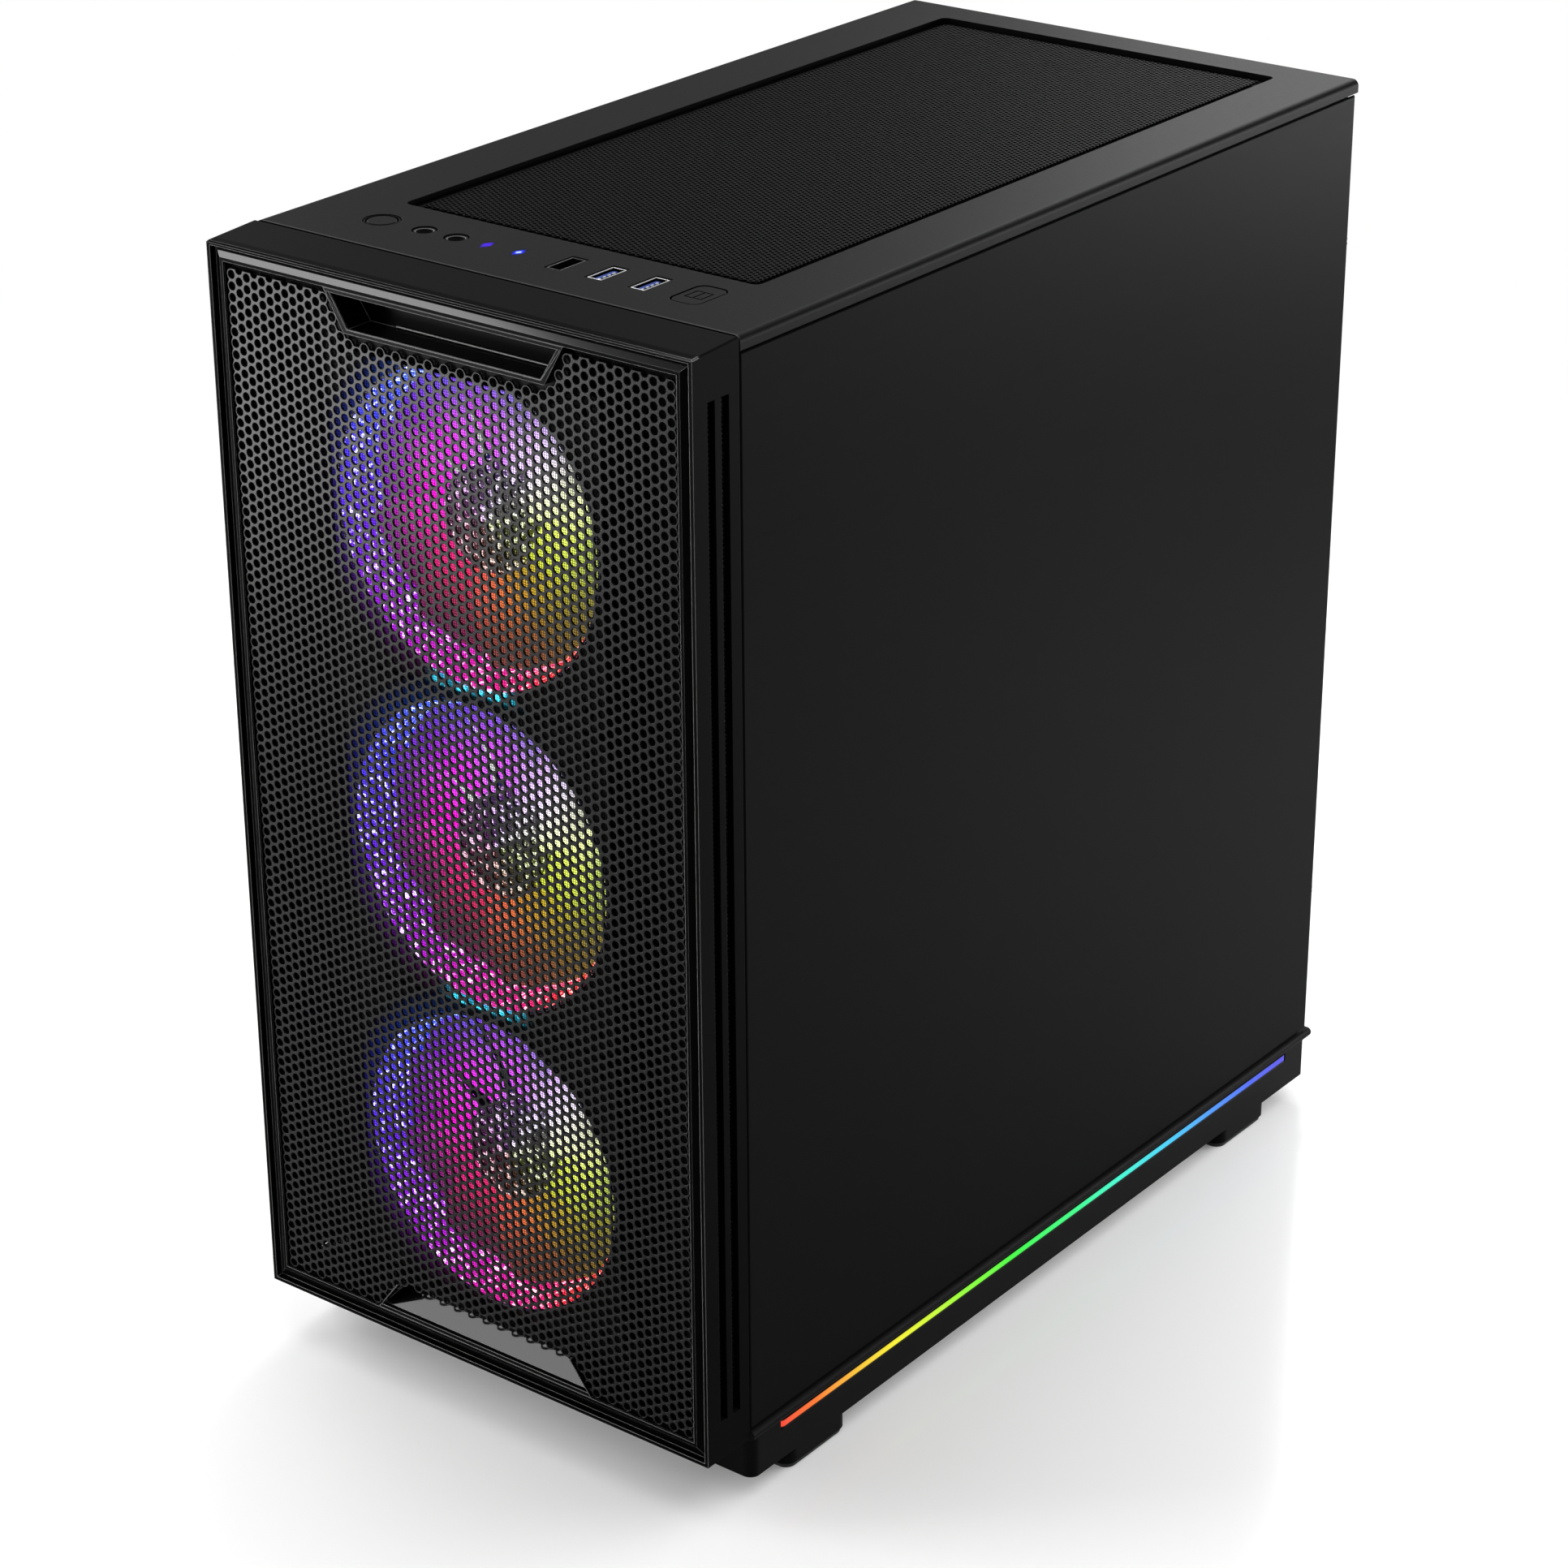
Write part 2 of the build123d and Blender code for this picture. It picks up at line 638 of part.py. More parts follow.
def upper_grip():
    mouth = trapezium(UPPER_WIDE, UPPER_NARROW, UPPER_BOTTOM, MESH_TOP - GRIP_LIP)
    outside = trapezium(UPPER_WIDE + GRIP_WALL, UPPER_NARROW + GRIP_WALL,
                        UPPER_BOTTOM - GRIP_WALL, MESH_TOP - GRIP_GAP)
    cup = sheet("y", outside, INNER_RIM_FRONT, GRIP_BACK + GRIP_WALL)
    return cup - sheet("y", mouth, 0, GRIP_BACK)


def lower_grip():
    """A cup that is open at the top, with a ramp for a floor."""
    outside = trapezium(LOWER_NARROW + GRIP_WALL, LOWER_WIDE + GRIP_WALL, MESH_BOTTOM + GRIP_GAP, LOWER_TOP)
    mouth = trapezium(LOWER_NARROW, LOWER_WIDE, LOWER_BOTTOM, LOWER_TOP + CUT)
    cup = sheet("y", outside, INNER_RIM_FRONT, GRIP_BACK + GRIP_WALL)
    ramp_side = [(0, LOWER_BOTTOM), (RAMP_FRONT, LOWER_BOTTOM), (GRIP_BACK, RAMP_TOP),
                 (GRIP_BACK, LOWER_TOP + CUT), (0, LOWER_TOP + CUT)]
    space = sheet("x", ramp_side, -LOWER_WIDE, LOWER_WIDE)
    return cup - (space & sheet("y", mouth, 0, GRIP_BACK))


# Side panels: a steel sheet on the right, glass on a steel border on the left, held by thumbscrews
def rear_flange():
    """The folded rear edge of a side panel, with its two screw holes, for the right side."""
    heights = inset((PANEL_BOTTOM, PANEL_TOP), FLANGE_INSET)
    flange = block((FLANGE_INNER, PANEL_INSIDE), (FLANGE_FRONT, FLANGE_BACK), heights)
    return flange - [rod("y", SCREW_HOLE, FLANGE_FRONT, FLANGE_BACK, (SCREW_X, z)) for z in SCREW_ZS]


def right_side_panel():
    skin = block((PANEL_INSIDE, PANEL_OUTSIDE), (PANEL_FRONT, PANEL_REAR), (PANEL_BOTTOM, PANEL_TOP))
    skin = chamfer(skin.faces().sort_by(Axis.X)[-1].edges(), PANEL_EDGE)
    return skin + rear_flange()


def left_panel_frame():
    heights = (PANEL_BOTTOM, PANEL_TOP)
    outline = rectangle((PANEL_FRONT + BORDER_INSET, FLANGE_BACK), inset(heights, BORDER_INSET))
    window = rectangle(inset((PANEL_FRONT, PANEL_REAR), BORDER), inset(heights, BORDER))
    border = sheet("x", outline, GLASS_INSIDE - SHEET, GLASS_INSIDE, [window])
    flange = rear_flange() & block((0, GLASS_INSIDE), (0, REAR_REACH), (0, CASE_HEIGHT))
    return mirror(border + flange, Plane.YZ)


def left_glass_panel():
    pane = block((-PANEL_OUTSIDE, -GLASS_INSIDE), (PANEL_FRONT, PANEL_REAR), (PANEL_BOTTOM, PANEL_TOP))
    return chamfer(pane.faces().sort_by(Axis.X)[0].edges(), PANEL_EDGE)


def thumbscrew(x, z):
    head = rod("y", SCREW_HEAD, FLANGE_BACK, REAR_REACH, (x, z))
    turns = [radians(360 / RIB_COUNT * k) for k in range(RIB_COUNT)]
    places = [(x + SCREW_HEAD * cos(turn), z + SCREW_HEAD * sin(turn)) for turn in turns]
    grooves = [rod("y", RIB_RADIUS, FLANGE_BACK + SCREW_COLLAR, REAR_REACH, place) for place in places]
    return head - grooves + rod("y", SCREW_SHANK, SCREW_TIP, FLANGE_BACK, (x, z))


# Chassis sheets
def floor_pan():
    """The floor with the supply's intake, and two hooked runners under it for the filter."""
    outline = rectangle((WALL_LEFT, WALL_RIGHT), (FLOOR_FRONT, REAR_FACE))
    across = inset((SUPPLY_LEFT, SUPPLY_RIGHT), INTAKE_INSETS[0])
    along = inset((SUPPLY_FRONT, REAR_WALL), INTAKE_INSETS[1])
    pan = sheet("z", outline, LIP_TOP, FLOOR_TOP, grid(across, along, INTAKE_COUNTS, INTAKE_WEB))
    runners = []
    for edge, inward in ((SUPPLY_LEFT - RUNNER_GAP, 1), (SUPPLY_RIGHT + RUNNER_GAP, -1)):
        tip = edge + RUNNER_HOOK * inward
        inner = edge + SHEET * inward
        hook_top = RUNNER_BOTTOM + SHEET
        hook = [(edge, LIP_TOP), (edge, RUNNER_BOTTOM), (tip, RUNNER_BOTTOM),
                (tip, hook_top), (inner, hook_top), (inner, LIP_TOP)]
        runners.append(sheet("y", hook, RUNNER_FRONT, REAR_WALL))
    return pan + runners


def bottom_filter():
    across = inset((SUPPLY_LEFT, SUPPLY_RIGHT), -TRAY_FILTER_GAP)
    along = (TRAY_FILTER_FRONT, TRAY_FILTER_REAR)
    gaps = grid(inset(across, TRAY_FILTER_BORDER), inset(along, TRAY_FILTER_BORDER),
                TRAY_FILTER_COUNTS, TRAY_FILTER_WEB)
    net = sheet("z", rectangle(across, along), TRAY_FILTER_BOTTOM, TRAY_FILTER_TOP, gaps)
    tab = block(span(SUPPLY_X, 2 * TAB_HALF), (TRAY_FILTER_REAR, TAB_REAR), (TRAY_FILTER_BOTTOM, TAB_TOP))
    return net + tab


def slot_height(index):
    return SLOT_FIRST - index * SLOT_PITCH


def rear_panel():
    shield = rectangle((SHIELD_INNER, SHIELD_OUTER), (SHIELD_BOTTOM, SHIELD_TOP))
    slot_x = inset((SLOT_INNER, SHIELD_OUTER), SLOT_OPEN_INSET)
    slots = [rectangle(slot_x, span(slot_height(k), 2 * SLOT_OPEN_HALF)) for k in range(SLOT_COUNT)]
    supply = rectangle(inset((SUPPLY_LEFT, SUPPLY_RIGHT), SUPPLY_OPENING_INSETS[0]),
                       inset((FLOOR_TOP, SUPPLY_TOP), SUPPLY_OPENING_INSETS[1]))
    reach = FAN_BORE - FAN_VENT_INSET

    def over_fan(x, z):
        return hypot(x - REAR_FAN_X, z - REAR_FAN_Z) < reach

    vents = honeycomb(span(REAR_FAN_X, 2 * reach), span(REAR_FAN_Z, 2 * reach), VENT_PITCH, over_fan)
    holes = [shield, *slots, supply, *(hexagon(c, FAN_VENT_RADIUS) for c in vents)]
    outline = rectangle((WALL_LEFT, WALL_RIGHT), (FLOOR_TOP, ROOF))
    wall = sheet("y", outline, REAR_WALL, REAR_FACE, holes)
    places = [(x, z) for x in (-SCREW_X, SCREW_X) for z in SCREW_ZS]
    return wall - [rod("y", SCREW_HOLE, REAR_WALL, REAR_FACE, place) for place in places]


def roof_rails():
    depths = (RAIL_BACK, REAR_WALL)
    heights = (ROOF - ROOF_RAIL_HEIGHT, ROOF)
    sides = ((TRAY_LEFT, WALL_RIGHT), (WALL_LEFT, WALL_LEFT + ROOF_RAIL_LEFT))
    return [block(x, depths, heights) for x in sides]


def front_rails():
    bores = [rod("y", FAN_BORE, RAIL_FRONT, RAIL_BACK, (0, z)) for z in FAN_HEIGHTS]
    return [block(x, (RAIL_FRONT, RAIL_BACK), (FLOOR_TOP, ROOF)) - bores
            for x in ((RAIL_OPEN_HALF, WALL_RIGHT), (WALL_LEFT, -RAIL_OPEN_HALF))]


def motherboard_tray():
    cable_holes = [rectangle(CABLE_HOLE_DEPTHS, (z, z + CABLE_HOLE_HEIGHT)) for z in CABLE_HOLE_BOTTOMS]
    outline = rectangle((RAIL_BACK, REAR_WALL), (FLOOR_TOP, ROOF - ROOF_RAIL_HEIGHT))
    tray = sheet("x", outline, TRAY_LEFT, TRAY_RIGHT, cable_holes)
    standoffs = [rod("x", STANDOFF_RADIUS, BOARD_BACK, TRAY_LEFT, (BOARD_FRONT + y, BOARD_BOTTOM + z))
                 for y in STANDOFF_DEPTHS for z in STANDOFF_HEIGHTS]
    return [tray, *standoffs]


def supply_shroud():
    side = SHROUD_LEFT + SHEET
    underside = SHROUD_TOP - SHEET
    corner = [(SHROUD_LEFT, FLOOR_TOP), (side, FLOOR_TOP), (side, underside), (TRAY_LEFT, underside),
              (TRAY_LEFT, SHROUD_TOP), (SHROUD_LEFT, SHROUD_TOP)]
    shroud = sheet("y", corner, SHROUD_FRONT, REAR_WALL)
    fronts = [SHROUD_VENT_FIRST + SHROUD_VENT_PITCH * k for k in range(SHROUD_VENT_COUNT)]
    vents = [block((x, x + SHROUD_VENT_WIDTH), (y, y + SHROUD_VENT_DEPTH), (underside, SHROUD_TOP))
             for x in SHROUD_VENT_LEFTS for y in fronts]
    return shroud - vents


# Top panel with its sunk field, the filter in it, the buttons and the sockets
def top_panel():
    slab = block((-HALF_WIDTH, HALF_WIDTH), (TOP_FRONT, TOP_REAR), (ROOF, CASE_HEIGHT))
    folds = slab.faces().sort_by(Axis.Z)[-1].edges().filter_by(Axis.Y)
    slab = fillet(folds, TOP_EDGE)
    field_x = (FIELD_LEFT, FIELD_RIGHT)
    field_y = (FIELD_FRONT, FIELD_REAR)
    size = (FIELD_RIGHT - FIELD_LEFT, FIELD_REAR - FIELD_FRONT)
    slab -= pad(sum(field_x) / 2, sum(field_y) / 2, size, FIELD_CORNER, FIELD_FLOOR, CASE_HEIGHT + CUT)
    slots = grid(inset(field_x, FIELD_BORDER), inset(field_y, FIELD_BORDER), FIELD_SLOTS, FIELD_WEB)
    slab -= [sheet("z", slot, ROOF - CUT, CASE_HEIGHT) for slot in slots]
    slab -= block((-POCKET_HALF, POCKET_HALF), POCKET_DEPTHS, (ROOF - CUT, CASE_HEIGHT - TOP_SKIN))
    skin = (CASE_HEIGHT - TOP_SKIN - CUT, CASE_HEIGHT + CUT)
    slab -= rod("z", POWER_RADIUS, *skin, (POWER_X, SOCKET_ROW))
    slab -= [rod("z", JACK_RADIUS + SOCKET_GAP, *skin, (x, SOCKET_ROW)) for x in JACK_XS]
    slab -= [pad(x, SOCKET_ROW, WINDOW_SIZE, WINDOW_CORNER, *skin) for x in WINDOW_XS]
    slab -= [pad(x, SOCKET_ROW, USB_PLATE, USB_PLATE_CORNER, *skin) for x in (PLAIN_USB_X, *BLUE_USB_XS)]
    return slab - pad(LIGHTING_X, SOCKET_ROW, LIGHTING_SIZE, LIGHTING_CORNER, *skin)


def top_filter():
    across = inset((FIELD_LEFT, FIELD_RIGHT), TOP_FILTER_GAP)
    along = inset((FIELD_FRONT, FIELD_REAR), TOP_FILTER_GAP)
    gaps = grid(inset(across, TOP_FILTER_BORDER), inset(along, TOP_FILTER_BORDER),
                TOP_FILTER_COUNTS, TOP_FILTER_WEB)
    heights = (FIELD_FLOOR, FIELD_FLOOR + TOP_FILTER_HEIGHT)
    size = (across[1] - across[0], along[1] - along[0])
    rounded = pad(sum(across) / 2, sum(along) / 2, size, FIELD_CORNER, *heights)
    return sheet("z", rectangle(across, along), *heights, gaps) & rounded


def io_board():
    heights = (IO_BOARD_BOTTOM, IO_BOARD_TOP)
    board = block((-IO_BOARD_HALF, IO_BOARD_HALF), IO_BOARD_DEPTHS, heights)
    posts = [rod("z", IO_POST_RADIUS, IO_BOARD_TOP, CASE_HEIGHT - TOP_SKIN, (x, IO_POST_DEPTH))
             for x in IO_POST_XS]
    switches = [block(span(x, SWITCH_SIZE), span(SOCKET_ROW, SWITCH_SIZE), (IO_BOARD_TOP, SWITCH_TOP))
                for x in (POWER_X, LIGHTING_X)]
    return board + posts + switches


def button_stem(x):
    """What reaches from a button's flange down to just above its switch, less its travel."""
    bottom = SWITCH_TOP + BUTTON_TRAVEL + BUTTON_FREE
    return rod("z", BUTTON_STEM, bottom, FLANGE_TOP - BUTTON_FLANGE, (x, SOCKET_ROW))


def power_button():
    place = (POWER_X, SOCKET_ROW)
    cap = rod("z", POWER_RADIUS - BUTTON_GAP, FLANGE_TOP, CASE_HEIGHT, place)
    inner, outer = [rod("z", radius, CASE_HEIGHT - POWER_GROOVE_DEPTH, CASE_HEIGHT, place)
                    for radius in POWER_GROOVE]
    flange = rod("z", POWER_RADIUS + BUTTON_FLANGE_REACH, FLANGE_TOP - BUTTON_FLANGE, FLANGE_TOP, place)
    return cap - (outer - inner) + flange + button_stem(POWER_X)


def lighting_button():
    cap_size = [side - 2 * BUTTON_GAP for side in LIGHTING_SIZE]
    cap = pad(LIGHTING_X, SOCKET_ROW, cap_size, LIGHTING_CORNER - BUTTON_GAP, FLANGE_TOP, CASE_HEIGHT)
    flange_size = [side + 2 * BUTTON_FLANGE_REACH for side in LIGHTING_SIZE]
    flange = pad(LIGHTING_X, SOCKET_ROW, flange_size, LIGHTING_CORNER, FLANGE_TOP - BUTTON_FLANGE, FLANGE_TOP)
    return cap + flange + button_stem(LIGHTING_X)


def audio_jacks():
    jacks = []
    for x in JACK_XS:
        shoulder = CASE_HEIGHT - JACK_COLLAR
        collar = rod("z", JACK_RADIUS, shoulder, CASE_HEIGHT, (x, SOCKET_ROW))
        body = block(span(x, JACK_BODY[0]), span(SOCKET_ROW, JACK_BODY[1]), (IO_BOARD_TOP, shoulder))
        bore = rod("z", JACK_BORE, CASE_HEIGHT - JACK_DEPTH, CASE_HEIGHT, (x, SOCKET_ROW))
        jacks.append(collar + body - bore)
    return jacks


def indicator_windows():
    size = [side - 2 * SOCKET_GAP for side in WINDOW_SIZE]
    corner = WINDOW_CORNER - SOCKET_GAP
    return [pad(x, SOCKET_ROW, size, corner, IO_BOARD_TOP, CASE_HEIGHT) for x in WINDOW_XS]


def usb_shell(x):
    plate_top = CASE_HEIGHT - USB_PLATE_DROP
    plate_bottom = plate_top - USB_PLATE_HEIGHT
    plate_size = [side - 2 * SOCKET_GAP for side in USB_PLATE]
    plate = pad(x, SOCKET_ROW, plate_size, USB_PLATE_CORNER - SOCKET_GAP, plate_bottom, plate_top)
    shell = pad(x, SOCKET_ROW, USB_SHELL, USB_SHELL_CORNER, IO_BOARD_TOP, plate_bottom)
    mouth = pad(x, SOCKET_ROW, USB_MOUTH, USB_MOUTH_CORNER, CASE_HEIGHT - USB_DEPTH, CASE_HEIGHT)
    return plate + shell - mouth


def usb_tongue(x):
    bottom = CASE_HEIGHT - USB_DEPTH
    top = bottom + USB_TONGUE_HEIGHT
    return pad(x - USB_TONGUE_SHIFT, SOCKET_ROW, USB_TONGUE, USB_MOUTH_CORNER, bottom, top)


# Fans: built about Z with the intake side at the top, then turned to face the way they blow
def fan_frame():
    body = pad(0, 0, (FAN_SIZE, FAN_SIZE), FAN_CORNER, -FAN_THICKNESS, 0)
    body -= rod("z", FAN_BORE, -FAN_THICKNESS, 0, (0, 0))
    corners = [(i * FAN_SCREWS, j * FAN_SCREWS) for i in (-1, 1) for j in (-1, 1)]
    body -= [rod("z", FAN_SCREW_RADIUS, -FAN_THICKNESS, 0, corner) for corner in corners]
    hub_seat = (-FAN_THICKNESS, -HUB_SEAT_FRONT)
    strut = block((0, STRUT_REACH), (-STRUT_HALF, STRUT_HALF), hub_seat)
    struts = [Rot(0, 0, turn) * strut for turn in STRUT_TURNS]
    return body + rod("z", HUB_SEAT_RADIUS, *hub_seat, (0, 0)) + struts


def fan_rotor(tip, hub, front, back):
    """Hub and pitched blades, from front to back below the fan's intake side."""
    core = rod("z", hub, -back, -front, (0, 0))
    chord = BLADE_CHORD * tip / BLADE_TIP
    blade_z = -back + chord / 2 * sin(radians(BLADE_PITCH)) + BLADE_THICKNESS
    plate = Pos(0, tip / 2 + hub / 4, blade_z) * Rot(0, BLADE_PITCH, 0) * Box(chord, tip, BLADE_THICKNESS)
    ring = rod("z", tip, -back, -front, (0, 0)) - rod("z", hub - CUT, -back, -front, (0, 0))
    blade = plate & ring
    return core + [Rot(0, 0, 360 / BLADE_COUNT * k) * blade for k in range(BLADE_COUNT)]


def facing_front(x, y, z):
    """Turns a fan so that its intake looks to the front, with the intake side at depth y."""
    return Pos(x, y, z) * Rot(90, 0, 0)


def facing_down(x, y, z):
    """Turns a fan so that its intake looks down, with the intake side at height z."""
    return Pos(x, y, z) * Rot(180, 0, 0)


# Motherboard and what stands on it
def motherboard():
    return block((BOARD_FACE, BOARD_BACK), (BOARD_FRONT, BOARD_REAR), (BOARD_BOTTOM, BOARD_TOP))


def rear_ports():
    ports = []
    for middle, tall, wide, mouths in PORTS:
        heights = span(middle, tall)
        across = (PORT_BASE - wide, PORT_BASE)
        port = block((across[0], BOARD_FACE), (PORT_FRONT, PORT_REAR), heights)
        spaces = grid(inset(across, PORT_WALL), inset(heights, PORT_WALL), (mouths, 1), PORT_WALL)
        ports.append(port - [sheet("y", space, PORT_REAR - PORT_MOUTH_DEPTH, PORT_REAR) for space in spaces])
    return ports


def port_shield():
    holes = [rectangle(inset((PORT_BASE - wide, BOARD_FACE), -PORT_GAP), inset(span(middle, tall), -PORT_GAP))
             for middle, tall, wide, _ in PORTS]
    outline = rectangle((SHIELD_INNER, SHIELD_OUTER), (SHIELD_BOTTOM, SHIELD_TOP))
    return sheet("y", outline, REAR_WALL, SHIELD_BACK, holes)


def board_sockets():
    memory_z = inset((MEMORY_TOP - MEMORY_LENGTH, MEMORY_TOP), -MEMORY_LATCH)
    memory = [block((MEMORY_SOCKET_X, BOARD_FACE), (y, y + MEMORY_SOCKET_WIDTH), memory_z)
              for y in MEMORY_DEPTHS]
    card_zs = [span(slot_height(k), 2 * CARD_SOCKET_HALF) for k in CARD_SOCKET_SLOTS]
    cards = [block((CARD_SOCKET_X, BOARD_FACE), CARD_SOCKET_DEPTHS, card_z) for card_z in card_zs]
    leads = [block((top, BOARD_FACE), depths, heights) for top, depths, heights in LEAD_SOCKETS]
    return [*memory, *cards, *leads]


def memory_modules():
    """Two modules, in every second socket, each with two notches in its outer edge."""
    modules = []
    bottom = MEMORY_TOP - MEMORY_LENGTH
    notch_x = (MEMORY_REACH, MEMORY_REACH + MEMORY_NOTCH[0])
    for y in MEMORY_DEPTHS[1::2]:
        depths = inset((y, y + MEMORY_SOCKET_WIDTH), -MEMORY_SPREADER)
        body = block((MEMORY_REACH, MEMORY_SOCKET_X), depths, (bottom, MEMORY_TOP))
        notches = [block(notch_x, depths, (bottom + place, bottom + place + MEMORY_NOTCH[1]))
                   for place in MEMORY_NOTCH_PLACES]
        modules.append(body - notches)
    return modules


def board_heatsinks():
    grooved, *plain = [block((top, BOARD_FACE), depths, heights) for top, depths, heights in BOARD_SINKS]
    top, _, heights = BOARD_SINKS[0]
    groove_x = (top - CUT, top + SINK_GROOVE_DEPTH)
    grooves = [block(groove_x, (y, y + SINK_GROOVE_WIDTH), inset(heights, -CUT)) for y in SINK_GROOVES]
    return [grooved - grooves, *plain]


# Processor cooler: contact block, heat pipes and a stack of fins
def cooler_heatsink():
    contact_y = span(COOLER_DEPTH, 2 * CONTACT_HALVES[0])
    contact_z = span(COOLER_Z, 2 * CONTACT_HALVES[1])
    base = block((CONTACT_LEFT, BOARD_FACE), contact_y, contact_z)
    pipes = [rod("x", PIPE_RADIUS, FIN_LAST_X - PIPE_OVERHANG, PIPE_END, (COOLER_DEPTH, COOLER_Z + offset))
             for offset in PIPE_SPREAD]
    fin_y = span(COOLER_DEPTH, 2 * FIN_HALF_DEPTH)
    fin_z = span(COOLER_Z, 2 * FIN_HALF_HEIGHT)
    lefts = [FIN_LAST_X + k * FIN_PITCH for k in range(FIN_COUNT)]
    return base + pipes + [block((x, x + FIN_THICKNESS), fin_y, fin_z) for x in lefts]


# Graphics card and the covers of the slots that are free
CARD_Z = slot_height(CARD_SLOT)


def graphics_board():
    board = block((SLOT_INNER, CARD_SOCKET_X), (CARD_FRONT, BRACKET_FRONT), span(CARD_Z, 2 * CARD_HALF_BOARD))
    bottom = slot_height(CARD_SLOTS[-1]) - SLOT_HALF
    bracket = block((SLOT_INNER, SHIELD_OUTER), (BRACKET_FRONT, BRACKET_BACK), (bottom, CARD_Z + SLOT_HALF))
    vent_z = (bottom + BRACKET_VENT_RISE, bottom + BRACKET_VENT_RISE + BRACKET_VENT[1])
    vents = [block((x, x + BRACKET_VENT[0]), (BRACKET_FRONT, BRACKET_BACK), vent_z)
             for x in BRACKET_VENT_LEFTS]
    return board + (bracket - vents)


def graphics_shroud():
    """The cover with its two fan bores under the board, and the plate on top of it."""
    underside = CARD_Z - CARD_HALF_BOARD
    topside = CARD_Z + CARD_HALF_BOARD
    depths = (CARD_FRONT + CARD_SIDE, BRACKET_FRONT - CARD_REAR_GAP)
    right = CARD_SOCKET_X - CARD_SIDE
    case = block((SLOT_INNER - CARD_SIDE, right), depths, (SHROUD_BOTTOM, underside))
    case = chamfer(case.faces().sort_by(Axis.Z)[0].edges(), SHROUD_EDGE)
    bores = [rod("z", CARD_FAN_BORE, SHROUD_BOTTOM - CUT, CARD_FAN_FLOOR, (CARD_FAN_X, y))
             for y in CARD_FAN_DEPTHS]
    plate_y = (depths[0], depths[1] - CARD_SIDE)
    return [case - bores, block((SLOT_INNER, right), plate_y, (topside, topside + CARD_PLATE))]


def slot_covers():
    heights = [span(slot_height(k), 2 * SLOT_HALF) for k in range(SLOT_COUNT) if k not in CARD_SLOTS]
    return [block((SLOT_INNER, SHIELD_OUTER), (BRACKET_FRONT, BRACKET_BACK), z) for z in heights]


# Power supply with its fan underneath, mains inlet and rocker switch at the rear
def power_supply():
    limits = [(SUPPLY_LEFT, SUPPLY_RIGHT), (SUPPLY_FRONT, REAR_WALL), (FLOOR_TOP, SUPPLY_TOP)]
    case = block(*limits) - block(*[inset(pair, SUPPLY_WALL) for pair in limits])
    case -= rod("z", FAN_BORE, FLOOR_TOP, FLOOR_TOP + SUPPLY_WALL, (SUPPLY_X, SUPPLY_MIDDLE))
    skin = (REAR_WALL - SUPPLY_WALL, REAR_WALL)
    vent_x = (SUPPLY_LEFT + SUPPLY_VENT_INSET, INLET_X - INLET_VENT_GAP)
    vents = honeycomb(vent_x, inset(limits[2], SUPPLY_VENT_INSET), VENT_PITCH, lambda x, z: True)
    case -= [sheet("y", hexagon(c, SUPPLY_VENT_RADIUS), *skin) for c in vents]
    case -= sheet("y", around((INLET_X, INLET_Z), INLET_BODY), *skin)
    pocket_front = REAR_WALL - ROCKER_POCKET
    walls = around((INLET_X, SWITCH_Z), [side + 2 * SHEET for side in ROCKER_HOLE])
    case += sheet("y", walls, pocket_front - SHEET, REAR_WALL)
    case -= sheet("y", around((INLET_X, SWITCH_Z), ROCKER_HOLE), pocket_front, REAR_WALL)
    arm_z = (SUPPLY_FAN_TOP, SUPPLY_FAN_TOP + SUPPLY_ARM_HEIGHT)
    arms = [block(limits[0], span(SUPPLY_MIDDLE, 2 * SUPPLY_ARM_HALF), arm_z),
            block(span(SUPPLY_X, 2 * SUPPLY_ARM_HALF), (SUPPLY_FRONT, skin[0]), arm_z)]
    return case + arms + rod("z", HUB_RADIUS, *arm_z, (SUPPLY_X, SUPPLY_MIDDLE))


def mains_inlet():
    centre = (INLET_X, INLET_Z)
    floor = INLET_REAR - INLET_DEPTH
    flange = sheet("y", around(centre, INLET_FLANGE), REAR_WALL, INLET_REAR)
    body = sheet("y", around(centre, INLET_BODY), floor - INLET_FLOOR, REAR_WALL)
    mouth = sheet("y", around(centre, INLET_MOUTH), floor, INLET_REAR)
    pins = [sheet("y", around((INLET_X + x, INLET_Z + z), PIN_SIZE), floor - CUT, INLET_REAR - PIN_SUNK)
            for x, z in INLET_PINS]
    return flange + body - mouth + pins


def mains_switch():
    """A rocker that rests tipped to its on side; its profile is drawn level and then tipped."""
    half = ROCKER_HALF_LENGTH
    level = [(-ROCKER_ROOT, -ROCKER_ROOT_HALF), (0, -half), (ROCKER_EAR, -half), (ROCKER_WAIST, 0),
             (ROCKER_EAR, half), (0, half), (-ROCKER_ROOT, ROCKER_ROOT_HALF)]
    tilt = radians(-ROCKER_TILT)
    tipped = [(ROCKER_PIVOT + y * cos(tilt) - z * sin(tilt), SWITCH_Z + y * sin(tilt) + z * cos(tilt))
              for y, z in level]
    return sheet("x", tipped, INLET_X - ROCKER_HALF_WIDTH, INLET_X + ROCKER_HALF_WIDTH)


def storage_drive():
    drive = block((TRAY_RIGHT, TRAY_RIGHT + DRIVE_THICKNESS), DRIVE_DEPTHS, DRIVE_HEIGHTS)
    return chamfer(drive.faces().sort_by(Axis.X)[-1].edges(), SHEET)


